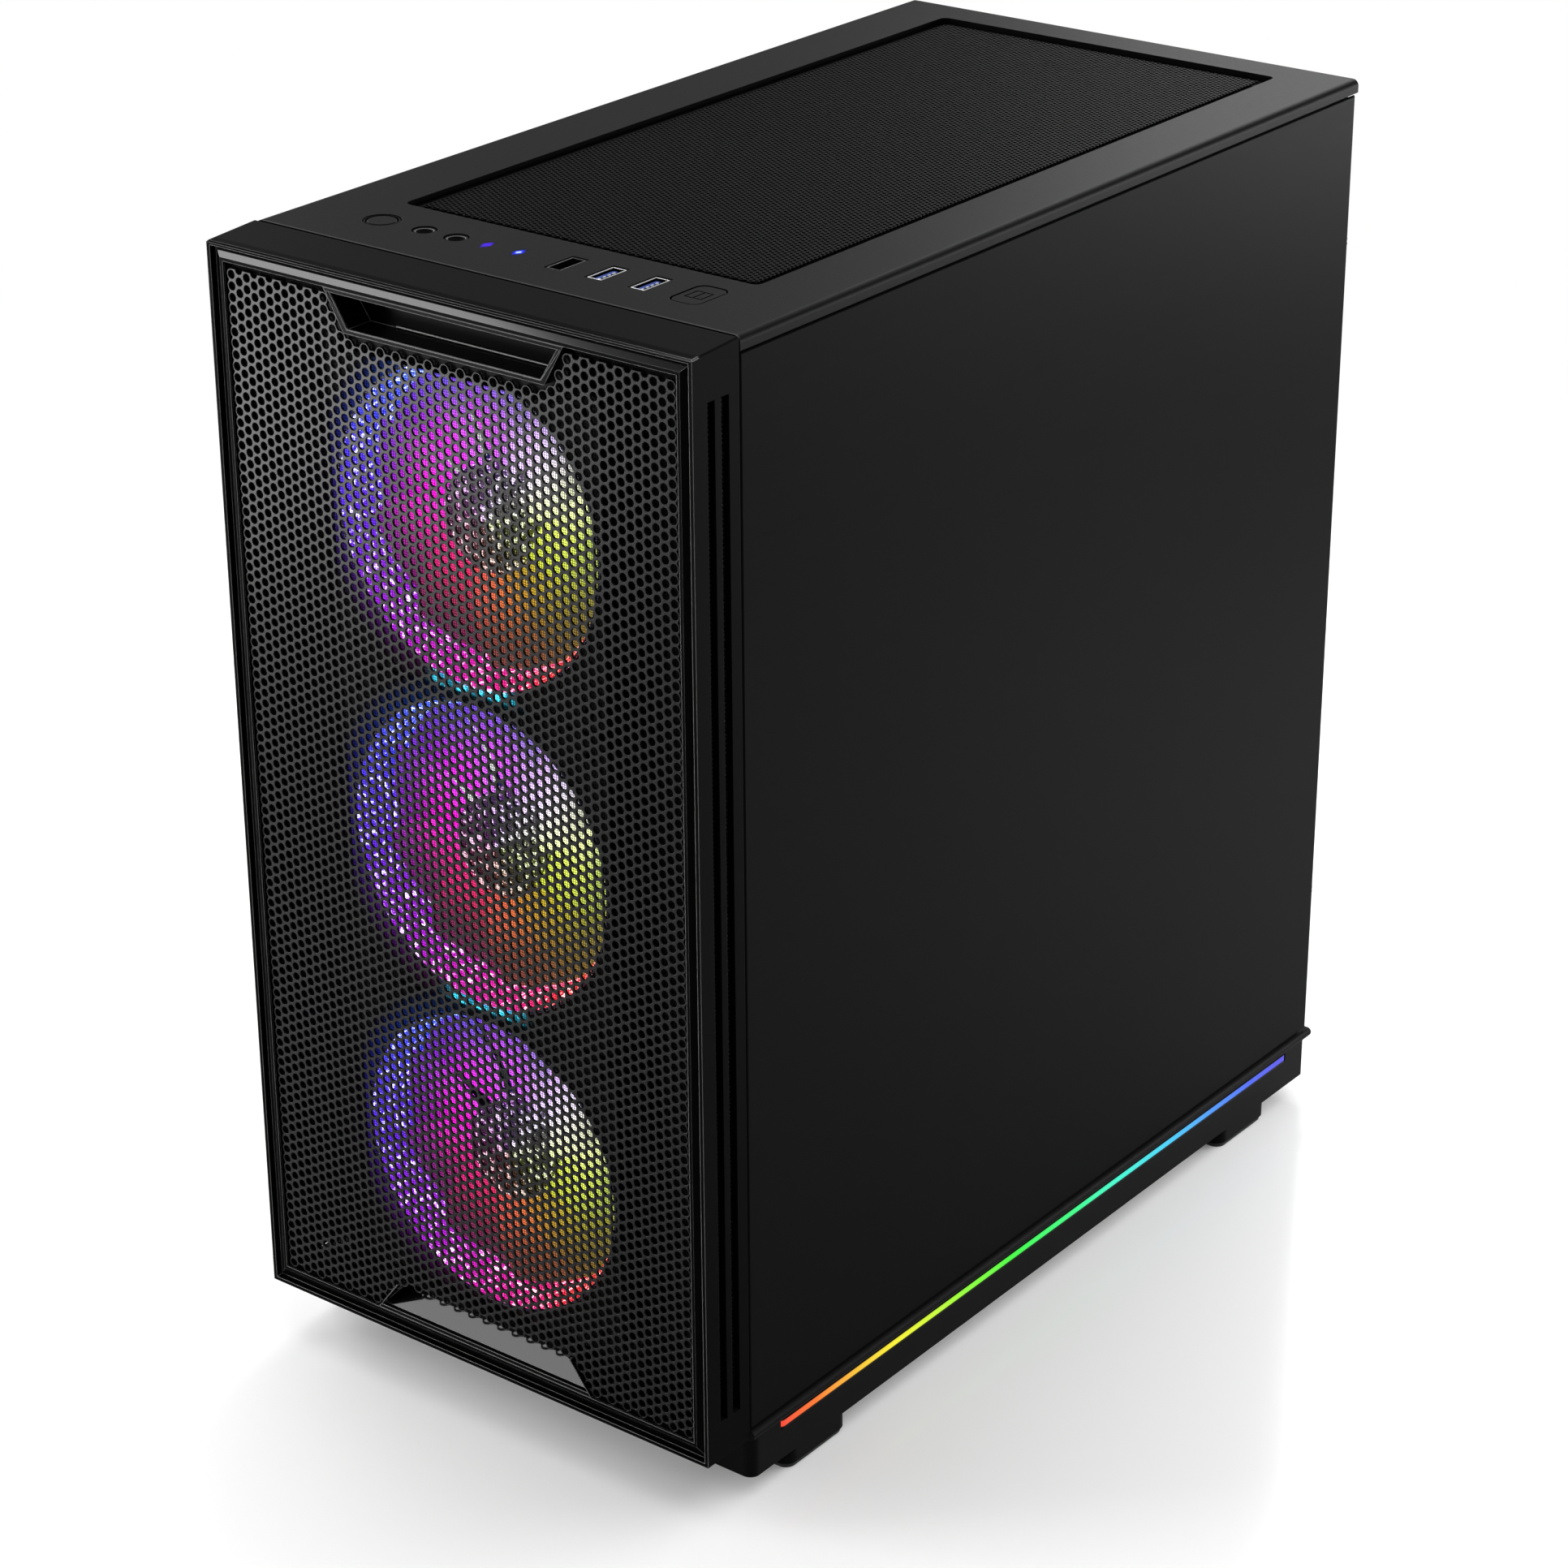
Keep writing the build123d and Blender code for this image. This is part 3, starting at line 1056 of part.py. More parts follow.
def power_cables():
    """Two leads that rise from the shroud and turn to the rear: to the board and to the card."""
    card_z = CARD_Z - CARD_CABLE_DROP
    cables = []
    for x, z, end in ((BOARD_CABLE_X, BOARD_CABLE_Z, LEAD_SOCKETS[0][1][0]),
                      (CARD_CABLE_X, card_z, CARD_FRONT + CARD_SIDE)):
        start = (x, CABLE_DEPTH, SHROUD_TOP)
        path = FilletPolyline(start, (x, CABLE_DEPTH, z), (x, end, z), radius=CABLE_BEND)
        section = Plane(origin=start, z_dir=(0, 0, 1)) * Circle(CABLE_RADIUS)
        cables.append(sweep(section, path))
    return cables


os.makedirs("parts", exist_ok=True)
rail = base_rail()
strip = light_strip()
save("base_rail_right", rail)
save("base_rail_left", mirror(rail, Plane.YZ))
save("base_front_rail", base_front_rail())
save("light_strips", strip, mirror(strip, Plane.YZ))
pads = foot_blocks(PAD_INSET, 0, PAD_HEIGHT)
save("foot_pads", *pads, *[mirror(piece, Plane.YZ) for piece in pads])

save("front_bezel", front_bezel())
save("front_mesh", front_mesh())
save("front_filter", front_filter())
save("upper_grip", upper_grip())
save("lower_grip", lower_grip())

save("right_side_panel", right_side_panel())
save("left_panel_frame", left_panel_frame())
save("left_glass_panel", left_glass_panel())
save("right_panel_screws", *[thumbscrew(SCREW_X, z) for z in SCREW_ZS])
save("left_panel_screws", *[thumbscrew(-SCREW_X, z) for z in SCREW_ZS])

save("floor_pan", floor_pan())
save("bottom_filter", bottom_filter())
save("rear_panel", rear_panel())
save("roof_rails", *roof_rails())
save("front_rails", *front_rails())
save("motherboard_tray", *motherboard_tray())
save("supply_shroud", supply_shroud())

save("top_panel", top_panel())
save("top_filter", top_filter())
save("io_board", io_board())
save("power_button", power_button())
save("lighting_button", lighting_button())
save("audio_jacks", *audio_jacks())
save("indicator_windows", *indicator_windows())
save("plain_usb_socket", usb_shell(PLAIN_USB_X) + usb_tongue(PLAIN_USB_X))
save("blue_usb_shells", *[usb_shell(x) for x in BLUE_USB_XS])
save("blue_usb_tongues", *[usb_tongue(x) for x in BLUE_USB_XS])

frame = fan_frame()
rotor = fan_rotor(BLADE_TIP, HUB_RADIUS, HUB_FRONT, HUB_BACK)
front_fans = zip(("top", "middle", "bottom"), FAN_HEIGHTS)
fan_places = {f"front_fan_{name}": (0, FAN_FRONT, z) for name, z in front_fans}
fan_places["rear_fan"] = (REAR_FAN_X, REAR_WALL - FAN_THICKNESS, REAR_FAN_Z)
fan_places["cooler_fan"] = (COOLER_X, COOLER_DEPTH - FIN_HALF_DEPTH - FAN_THICKNESS, COOLER_Z)
for name, place in fan_places.items():
    save(f"{name}_frame", facing_front(*place) * frame)
    save(f"{name}_rotor", facing_front(*place) * rotor)

save("motherboard", motherboard())
save("port_shield", port_shield())
save("rear_ports", *rear_ports())
save("board_sockets", *board_sockets())
save("memory_modules", *memory_modules())
save("board_heatsinks", *board_heatsinks())
save("cooler_heatsink", cooler_heatsink())
save("graphics_board", graphics_board())
save("graphics_shroud", *graphics_shroud())
card_rotor_back = CARD_FAN_FLOOR - SHROUD_BOTTOM - ROTOR_CLEAR
card_rotor = fan_rotor(CARD_FAN_TIP, CARD_FAN_HUB, CARD_FAN_INSET, card_rotor_back)
for name, y in zip(("front", "rear"), CARD_FAN_DEPTHS):
    save(f"graphics_rotor_{name}", facing_down(CARD_FAN_X, y, SHROUD_BOTTOM) * card_rotor)
save("slot_covers", *slot_covers())
save("power_supply", power_supply())
supply_rotor = fan_rotor(BLADE_TIP, HUB_RADIUS, SUPPLY_FAN_INSET, SUPPLY_FAN_TOP - FLOOR_TOP - ROTOR_CLEAR)
save("supply_rotor", facing_down(SUPPLY_X, SUPPLY_MIDDLE, FLOOR_TOP) * supply_rotor)
save("mains_inlet", mains_inlet())
save("mains_switch", mains_switch())
save("storage_drive", storage_drive())
save("power_cables", *power_cables())
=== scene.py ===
# %% [markdown]
# # A desktop computer tower
# The object is a black computer case: a perforated front over three lit fans, a filtered top with
# buttons and sockets, a lit strip along each side, and a whole machine inside. The solids come from
# CAD, so they are not drawn again here. This lesson gives them their finishes, and it makes anew the
# pieces whose small forms the solids leave out, such as the punched front sheet and the fan blades.

# %% Load the solids
import json
from math import cos, pi, radians, sin, sqrt, tau

import bpy
from mathutils import Matrix, Vector


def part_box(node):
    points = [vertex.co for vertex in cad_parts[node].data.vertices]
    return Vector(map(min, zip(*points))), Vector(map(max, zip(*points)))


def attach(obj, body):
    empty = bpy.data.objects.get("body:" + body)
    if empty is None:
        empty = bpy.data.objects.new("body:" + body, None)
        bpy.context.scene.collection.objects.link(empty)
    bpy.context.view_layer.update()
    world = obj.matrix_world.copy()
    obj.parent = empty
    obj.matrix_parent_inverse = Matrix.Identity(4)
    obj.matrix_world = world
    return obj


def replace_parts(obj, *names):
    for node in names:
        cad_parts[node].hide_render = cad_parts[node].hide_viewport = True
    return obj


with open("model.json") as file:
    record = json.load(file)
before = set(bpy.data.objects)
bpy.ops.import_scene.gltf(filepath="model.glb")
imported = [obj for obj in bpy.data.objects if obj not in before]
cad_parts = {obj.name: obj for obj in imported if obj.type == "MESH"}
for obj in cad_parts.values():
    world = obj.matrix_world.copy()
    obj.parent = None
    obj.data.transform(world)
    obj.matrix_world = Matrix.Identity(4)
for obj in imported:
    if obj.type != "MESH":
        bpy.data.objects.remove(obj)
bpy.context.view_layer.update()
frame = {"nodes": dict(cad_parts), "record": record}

MM = 0.001
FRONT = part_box("front_bezel")[0].y
scene = bpy.context.scene

# %% [markdown]
# ## The camera
# The place and the lens were worked out from the case's corners in the photograph. A camera looks
# along its own -Z, so it is first tipped up from straight down, then turned round the vertical.

# %% The camera
CAMERA_PLACE = (0.86721, -1.14686, 0.84722)
CAMERA_TURN = radians(37.679)
CAMERA_LIFT = radians(24.697)
CAMERA_ROLL = radians(-0.309)
LENS = 94.53
SENSOR = 36.0

eye = bpy.data.cameras.new("camera")
eye.lens = LENS
eye.sensor_width = SENSOR
camera = bpy.data.objects.new("camera", eye)
camera.matrix_world = (Matrix.Translation(CAMERA_PLACE) @ Matrix.Rotation(CAMERA_TURN, 4, "Z")
                       @ Matrix.Rotation(pi / 2 - CAMERA_LIFT, 4, "X") @ Matrix.Rotation(CAMERA_ROLL, 4, "Z"))
scene.collection.objects.link(camera)
scene.camera = camera
scene.view_settings.view_transform = "Standard"
print("camera", [round(v, 3) for v in camera.matrix_world.translation])

# %% [markdown]
# ## Shader expressions
# A material is a small program. Wiring its nodes one by one hides what it works out, so one class
# wraps a node's output and lets Python's own signs add the Math nodes. A second class holds the tree
# of one finish and has a single method that adds any node, with its sockets and its settings.

# %% A socket that can be reckoned with
def sign(operation, swapped=False):
    """A method that adds one Math node."""
    def method(self, other=0.0):
        first, second = (other, self) if swapped else (self, other)
        return self.finish.node("Math", {0: first, 1: second}, operation=operation)
    return method


class Wire:
    """An output of a node in the tree of a finish."""
    __add__, __radd__ = sign("ADD"), sign("ADD", True)
    __sub__, __rsub__ = sign("SUBTRACT"), sign("SUBTRACT", True)
    __mul__, __rmul__ = sign("MULTIPLY"), sign("MULTIPLY", True)
    __truediv__ = sign("DIVIDE")
    __mod__ = sign("FLOORED_MODULO")
    __gt__ = sign("GREATER_THAN")
    __lt__ = sign("LESS_THAN")
    __abs__ = sign("ABSOLUTE")
    most = sign("MAXIMUM")
    root = sign("SQRT")
    sine = sign("SINE")
    turn_from = sign("ARCTAN2")

    def __init__(self, finish, socket):
        self.finish = finish
        self.socket = socket


class Finish:
    """The node tree of a new material, or of the owner that is given."""

    def __init__(self, name, owner=None):
        self.owner = owner or bpy.data.materials.new(name)
        self.owner.use_nodes = True
        self.tree = self.owner.node_tree
        self.tree.nodes.clear()

    def node(self, kind, sockets=None, output=0, **settings):
        node = self.tree.nodes.new("ShaderNode" + kind)
        for name, value in settings.items():
            setattr(node, name, value)
        for name, value in (sockets or {}).items():
            if isinstance(value, Wire):
                self.tree.links.new(value.socket, node.inputs[name])
            else:
                node.inputs[name].default_value = value
        return Wire(self, node.outputs[output]) if node.outputs else None

    def place(self, of=None):
        settings = {"object": of} if of else {}
        return self.node("TexCoord", output="Object", **settings)

    def split(self, vector):
        parts = self.node("SeparateXYZ", {0: vector}).socket.node
        return [Wire(self, socket) for socket in parts.outputs]

    def stretch(self, vector, scale):
        return self.node("VectorMath", {0: vector, 1: scale}, operation="MULTIPLY")

    def noise(self, vector, scale, detail=2.0):
        return self.node("TexNoise", {"Vector": vector, "Scale": scale, "Detail": detail})

    def ease(self, value, low, high):
        """0 below low, 1 above high, smooth in between."""
        return self.node("MapRange", {"Value": value, "From Min": low, "From Max": high},
                         interpolation_type="SMOOTHSTEP")

    def blend(self, share, first, second):
        return self.node("Mix", {0: share, 6: first, 7: second}, 2, data_type="RGBA")

    def ramp(self, value, stops):
        wire = self.node("ValToRGB", {0: value})
        elements = wire.socket.node.color_ramp.elements
        while len(elements) < len(stops):
            elements.new(1.0)
        for element, (place, tint) in zip(elements, stops):
            element.position = place
            element.color = tint
        return wire

    def bump(self, height, depth, rounding=0.0):
        sockets = {"Height": height, "Distance": depth, "Strength": 1.0}
        if rounding:
            sockets["Normal"] = self.soft_edge(rounding)
        return self.node("Bump", sockets)

    def facing(self):
        """The three parts of the surface's direction."""
        return self.split(self.node("NewGeometry", output="Normal"))

    def facing_up(self, low=0.5, high=0.95):
        """1 on faces that look up, 0 on upright ones."""
        return self.ease(self.facing()[2], low, high)

    def soft_edge(self, radius):
        """The surface's direction, turned a little near each edge, as a small rounding would."""
        return self.node("Bevel", {"Radius": radius}, samples=4)

    def edge(self, radius):
        """1 along each edge and 0 on flat faces: near an edge the rounded direction leaves the true one."""
        flat = self.node("NewGeometry", output="True Normal")
        alike = self.node("VectorMath", {0: self.soft_edge(radius), 1: flat}, "Value",
                          operation="DOT_PRODUCT")
        return self.ease(1 - alike, 0.02, 0.16)

    def surface(self, sockets):
        self.node("OutputMaterial", {"Surface": self.node("BsdfPrincipled", sockets)})
        return self.owner


def shade(level):
    """The linear value of a screen level between 0 and 255."""
    part = level / 255
    return part / 12.92 if part <= 0.04045 else ((part + 0.055) / 1.055) ** 2.4


def color(red, green, blue):
    return (shade(red), shade(green), shade(blue), 1.0)


def grey(level):
    return color(level, level, level)


def stops(*rows):
    """Stops of a ramp from rows of place, red, green and blue."""
    return [(place, color(*tint)) for place, *tint in rows]


print("level 128 is", round(shade(128), 3), "linear")

# %% [markdown]
# ## Floor and light
# The photograph was taken on white, with one tall soft light at the front left: its right edge shows
# in the groove round the front, and its whole height in the ramp of the lower grip. A second soft
# light hangs overhead and whitens the floor. The sky is white near the horizon and grey above.

# %% Floor and sky
FLOOR_HALF = 10.0
FLOOR_CORNERS = ((-1, -1), (1, -1), (1, 1), (-1, 1))
FLOOR_GLOW = 0.14
GLOW_FROM = 0.5
GLOW_FULL = 1.3
SKY_GREY = 0.16
SKY_FROM = 0.12
SKY_FULL = 0.28

floor_mesh = bpy.data.meshes.new("floor")
floor_mesh.from_pydata([(x * FLOOR_HALF, y * FLOOR_HALF, 0) for x, y in FLOOR_CORNERS], [], [(0, 1, 2, 3)])
floor = bpy.data.objects.new("floor", floor_mesh)
scene.collection.objects.link(floor)


def floor_paper():
    """White paper that glows more and more away from the case, so that it ends in pure white."""
    finish = Finish("floor_paper")
    paper = finish.node("BsdfPrincipled", {"Base Color": grey(240), "Roughness": 0.16,
                                           "Specular IOR Level": 0.3})
    glow = finish.node("Emission", {"Color": grey(255), "Strength": 1.0})
    rays = finish.node("LightPath").socket.node
    camera_ray, glossy_ray, through_ray = (Wire(finish, rays.outputs[name]) for name in
                                           ("Is Camera Ray", "Is Glossy Ray", "Is Transmission Ray"))
    seen = camera_ray.most(glossy_ray).most(through_ray)
    away = finish.node("VectorMath", {0: finish.place()}, "Value", operation="LENGTH")
    share = FLOOR_GLOW + (1 - FLOOR_GLOW) * finish.ease(away, GLOW_FROM, GLOW_FULL)
    mixed = finish.node("MixShader", {0: seen * share, 1: paper, 2: glow})
    finish.node("OutputMaterial", {"Surface": mixed})
    return finish.owner


floor_mesh.materials.append(floor_paper())

air = Finish("sky", bpy.data.worlds.new("sky"))
scene.world = air.owner
rise = air.split(air.node("TexCoord", output="Generated"))[2]
sky_color = air.blend(air.ease(rise, SKY_FROM, SKY_FULL), grey(255), (SKY_GREY, SKY_GREY, SKY_GREY, 1.0))
air.node("OutputWorld", {"Surface": air.node("Background", {"Color": sky_color, "Strength": 1.0})})
print("sky above the horizon:", SKY_GREY)

# %% [markdown]
# ## Lamps
# Shiny black plastic shows a lamp as a bright shape, so its size and place count as much as its power.
# Each lamp is a rectangle turned towards a point, and the camera does not see the lamps themselves.

# %% Lamps
def soft_light(name, place, aim, wide, tall, power):
    lamp = bpy.data.lights.new(name, "AREA")
    lamp.shape = "RECTANGLE"
    lamp.size = wide
    lamp.size_y = tall
    lamp.energy = power
    holder = bpy.data.objects.new(name, lamp)
    look = (Vector(aim) - Vector(place)).to_track_quat("-Z", "Y")
    holder.matrix_world = Matrix.Translation(place) @ look.to_matrix().to_4x4()
    holder.visible_camera = False
    scene.collection.objects.link(holder)
    print(name, "radiance", round(power / (pi * wide * tall), 2))


soft_light("front_light", (-0.70, -0.745, 0.52), (-0.07, 0.04, 0.52), 0.45, 1.02, 11.0)
soft_light("overhead_light", (0.3, 0.5, 2.2), (0.3, 0.5, 0.0), 3.4, 3.4, 62.0)
soft_light("rear_light", (-0.25, 1.05, 0.90), (0.05, 0.15, 0.43), 0.6, 0.6, 6.0)
soft_light("side_light", (0.77, 0.91, 0.32), (0.1, 0.0, 0.40), 0.9, 0.4, 14.0)
soft_light("left_light", (-1.35, 0.25, 0.75), (0.0, 0.02, 0.25), 0.9, 0.9, 9.0)
soft_light("low_light", (-0.74, -0.80, 0.10), (-0.09, -0.20, 0.35), 0.35, 0.25, 2.4)

# %% [markdown]
# ## Plastics and paints
# Almost everything here is black, so the finishes differ in their shine: satin moulded plastic has a
# fine even grain, the grips are polished, and sheet steel is painted or brushed. Grain is a noise
# that moves the roughness and a very shallow bump, at the size it has on the real thing.

# %% Satin and polished plastic
GRAIN = 2600.0
GRAIN_DEPTH = 0.03 * MM
RIPPLE_DEPTH = 0.04 * MM
SOFT_PLASTIC = 0.4 * MM
SOFT_GLOSS = 0.5 * MM
BEZEL_HIGHLIGHT_EDGE = 0.35 * MM
GLOSS_HIGHLIGHT_EDGE = 0.45 * MM
BEZEL_FACE = (FRONT + 3.2 * MM, FRONT + 4.2 * MM)


def satin_plastic(name, bright_before):
    """Grained black; faces that look up are lighter, as painted light from above, and in front of the depth
    bright_before they carry a painted highlight line.
    """
    finish = Finish(name)
    where = finish.place()
    # painted highlight: a light grey line on faces that look up, in front of bright_before
    painted_highlight = finish.facing_up() * (finish.split(where)[1] < bright_before)
    grain = finish.noise(where, GRAIN, 3.0)
    # painted light: faces that look up are lighter grey, as where light from above falls
    top = finish.blend(finish.noise(where, 14.0), grey(16), grey(22))
    return finish.surface({
        "Base Color": finish.blend(painted_highlight, finish.blend(finish.facing_up(), grey(5), top), grey(58)),
        "Roughness": 0.38 + grain * 0.16,
        "Specular IOR Level": 0.03,
        "Normal": finish.bump(grain, GRAIN_DEPTH, SOFT_PLASTIC)})


def bezel_plastic():
    """Satin outside, polished where the groove round the front slopes up, with a painted highlight along the
    edges in front and painted light on faces that look up.
    """
    finish = Finish("bezel_plastic")
    where = finish.place()
    front = 1 - finish.ease(finish.split(where)[1], *BEZEL_FACE)
    polish = front * finish.facing_up(0.3, 0.5) * (1 - finish.facing_up(0.75, 0.9))
    grain = finish.noise(where, GRAIN, 3.0)
    # painted light: faces that look up behind the front are lighter, as where light from above falls
    body = finish.blend(finish.facing_up() * (1 - front), grey(3), grey(17))
    # painted highlight: light grey along the edges in front
    return finish.surface({
        "Base Color": finish.blend(finish.edge(BEZEL_HIGHLIGHT_EDGE) * front, body, grey(150)),
        "Roughness": 0.36 + grain * 0.16,
        "Specular IOR Level": 0.012,
        "Coat Weight": polish,
        "Coat Roughness": 0.1,
        "Coat IOR": 1.42,
        "Normal": finish.bump(grain * (1 - polish), GRAIN_DEPTH, SOFT_PLASTIC)})


def gloss_plastic():
    """Polished on the faces that look up, such as the ramp of the lower grip, with a painted highlight along
    its edges.
    """
    finish = Finish("gloss_plastic")
    ripple = finish.noise(finish.place(), 90.0)
    body = finish.blend(ripple, grey(3), grey(6))
    # painted highlight: light grey along every edge
    return finish.surface({
        "Base Color": finish.blend(finish.edge(GLOSS_HIGHLIGHT_EDGE), body, grey(150)),
        "Roughness": 0.3 + ripple * 0.06,
        "Specular IOR Level": 0.02,
        "Coat Weight": finish.facing_up(0.2, 0.4),
        "Coat Roughness": 0.07,
        "Coat IOR": 1.32,
        "Normal": finish.bump(ripple, RIPPLE_DEPTH, SOFT_GLOSS)})


print("grain in a metre:", GRAIN)

# %% [markdown]
# ## Metals
# Sheet steel is painted, brushed or left bare. Paint has a fine peel, a brushed sheet long strokes from
# front to rear, and bare metal small scratches. Each is one noise; for the strokes it is stretched.

# %% Painted, brushed and bare metal
SOFT_METAL = 0.3 * MM
PEEL_DEPTH = 0.02 * MM
SCRATCH_DEPTH = 0.01 * MM
STROKES = (1.0, 14.0, 900.0)


def painted_metal(name, level, rough, shine, dull_and_shaded_walls=False):
    """Paint with a fine peel; for a front sheet the walls of its holes are rougher and carry painted shade,
    darker than its face.
    """
    finish = Finish(name)
    where = finish.place()
    peel = finish.noise(where, 1500.0)
    paint = finish.blend(finish.noise(where, 9.0), grey(level), grey(level + 6))
    roughness = rough + peel * 0.12
    if dull_and_shaded_walls:
        # painted shade: the walls of the holes are near black, as the shade inside a hole
        hole_wall_shade = finish.ease(finish.facing()[1], -0.6, -0.2)
        paint = finish.blend(hole_wall_shade, paint, grey(1))
        roughness = roughness + hole_wall_shade * 0.5
    return finish.surface({
        "Base Color": paint,
        "Roughness": roughness,
        "Specular IOR Level": shine,
        "Normal": finish.bump(peel, PEEL_DEPTH, SOFT_METAL)})


def brushed_panel():
    finish = Finish("brushed_panel")
    where = finish.place()
    strokes = finish.noise(finish.stretch(where, STROKES), 1.6, 4.0)
    cloud = finish.noise(where, 5.0)
    return finish.surface({
        "Base Color": finish.blend(strokes * 0.7 + cloud * 0.3, grey(5), grey(13)),
        "Roughness": 0.28 + strokes * 0.14,
        "Specular IOR Level": 0.012,
        "Normal": finish.bump(strokes, PEEL_DEPTH, SOFT_PLASTIC)})


def dimmed(tint, share):
    return tuple(share * part for part in tint[:3]) + (1.0,)


def bare_metal(name, tint, rough, across=(1.0, 1.0, 1.0)):
    finish = Finish(name)
    scratches = finish.noise(finish.stretch(finish.place(), across), 700.0, 3.0)
    return finish.surface({
        "Base Color": finish.blend(scratches, tint, dimmed(tint, 0.8)),
        "Metallic": 1.0,
        "Roughness": rough + scratches * 0.14,
        "Normal": finish.bump(scratches, SCRATCH_DEPTH, SOFT_METAL)})


def matt_plastic(name, tint, rough=0.5):
    finish = Finish(name)
    grain = finish.noise(finish.place(), 1800.0)
    return finish.surface({
        "Base Color": finish.blend(grain, tint, dimmed(tint, 0.72)),
        "Roughness": rough + grain * 0.12,
        "Normal": finish.bump(grain, PEEL_DEPTH, SOFT_METAL)})


print("edges of metal are rounded by", SOFT_METAL / MM, "mm")

# %% [markdown]
# ## Light inside plastic
# The strip under each lip and the front fans are clear or frosted plastic with coloured lamps behind.
# Their colours run round the rainbow: along the strip from front to rear, and round each fan's hub.
# Emission gives them their own light, and its colour comes from a ramp over place or angle.

# %% Lit strip and windows
STRIP_LOW, STRIP_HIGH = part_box("light_strips")
STRIP_COLORS = stops(
    (0.0, 255, 60, 30), (0.06, 255, 120, 30), (0.12, 250, 185, 40), (0.20, 250, 240, 30),
    (0.33, 140, 255, 40), (0.42, 50, 250, 50), (0.54, 45, 250, 130), (0.64, 50, 245, 210),
    (0.74, 60, 205, 250), (0.83, 65, 150, 250), (0.92, 65, 95, 245), (1.0, 80, 70, 230))
LIT_HEIGHT = 22.5 * MM
LIT_HALF = (0.9 * MM, 1.5 * MM)
WINDOW_MIDDLE = 15.0 * MM
WINDOW_APART = 14.0 * MM
SOCKET_ROW = 49.0  # millimetres behind the front of the bezel


def lit_strip():
    """Bright along its middle and dark at its upper and lower edge."""
    finish = Finish("lit_strip")
    where = finish.place()
    depth, z = finish.split(where)[1:]
    light = finish.ramp((depth - STRIP_LOW.y) / (STRIP_HIGH.y - STRIP_LOW.y), STRIP_COLORS)
    core = 1 - finish.ease(abs(z - LIT_HEIGHT), *LIT_HALF)
    spots = finish.noise(where, 120.0)
    return finish.surface({
        "Base Color": grey(8),
        "Roughness": 0.3 + spots * 0.1,
        "Specular IOR Level": 0.05,
        "Emission Color": finish.blend(core, grey(0), finish.blend(spots * 0.04, light, grey(255))),
        "Emission Strength": 1.0})


def lit_windows():
    """The left window is a dim violet, the right one a bright blue with a white middle."""
    finish = Finish("lit_windows")
    x, depth = finish.split(finish.place())[:2]
    right = x > -WINDOW_MIDDLE
    away = abs(abs(x + WINDOW_MIDDLE) - WINDOW_APART / 2) * 1.4 + abs(depth - FRONT - SOCKET_ROW * MM)
    core = 1 - finish.ease(away, 1.6 * MM, 4.2 * MM)
    white = (1 - finish.ease(away, 0.6 * MM, 2.2 * MM)) * right
    lit = finish.blend(right, color(66, 22, 214), color(16, 40, 255))
    lit = finish.blend(white, lit, color(190, 220, 255))
    return finish.surface({
        "Base Color": grey(3),
        "Roughness": 0.3,
        "Specular IOR Level": 0.03,
        "Emission Color": finish.blend(core, color(6, 4, 30), lit),
        "Emission Strength": 1.2})


print("strip is", round((STRIP_HIGH.y - STRIP_LOW.y) / MM), "mm long")

# %% [markdown]
# ## Light of the front fans
# The colours stay in place while a wheel turns. So they are looked up by the angle round the hub, and
# that angle is measured from the still ring and not from the wheel.

# %% Lit fans
FAN_MIDDLE = 230.3  # millimetres, like the pitch and the ring
FAN_PITCH = 121.3
HUB_EDGE = 19.05 * MM
RING_FRONT = 8.7
BLADE_COLORS = stops(
    (0.0, 196, 216, 70), (0.06, 230, 236, 176), (0.14, 222, 204, 240), (0.23, 176, 84, 222),
    (0.36, 206, 44, 224), (0.48, 222, 14, 196), (0.58, 206, 6, 116), (0.68, 196, 26, 76),
    (0.76, 196, 92, 44), (0.85, 158, 122, 22), (0.93, 170, 182, 34), (1.0, 196, 216, 70))
OUTER_COLORS = stops(
    (0.0, 128, 156, 44), (0.08, 156, 164, 130), (0.16, 126, 110, 184), (0.26, 92, 84, 222),
    (0.38, 110, 40, 214), (0.50, 128, 8, 176), (0.60, 130, 6, 90), (0.70, 128, 26, 60),
    (0.78, 150, 74, 40), (0.88, 140, 116, 14), (1.0, 128, 156, 44))
RING_COLORS = stops(
    (0.0, 200, 40, 30), (0.10, 70, 90, 150), (0.22, 20, 160, 245), (0.32, 24, 104, 250), (0.42, 44, 66, 250),
    (0.54, 104, 44, 244), (0.64, 180, 30, 230), (0.75, 250, 30, 170), (0.84, 250, 20, 50), (1.0, 200, 40, 30))


def round_fan(finish, still):
    """Angle from 0 to 1 round the nearest front fan's hub, distance from its axis, depth, not the lowest."""
    pitch = FAN_PITCH * MM
    x, depth, z = finish.split(finish.place(still))
    up = (z - FAN_MIDDLE * MM + pitch / 2) % pitch - pitch / 2
    higher = z > FAN_MIDDLE * MM - pitch / 2
    return up.turn_from(x) / tau % 1.0, (x * x + up * up).root(), depth, higher


def between(finish, angle, first, second):
    """1 between two angles, each given as the start and the end of an easing."""
    return finish.ease(angle, *first) * (1 - finish.ease(angle, *second))


def low_arc(finish, angle, higher):
    """The short arc under a fan that takes light from the next one."""
    return between(finish, angle, (0.69, 0.72), (0.78, 0.81)) * higher


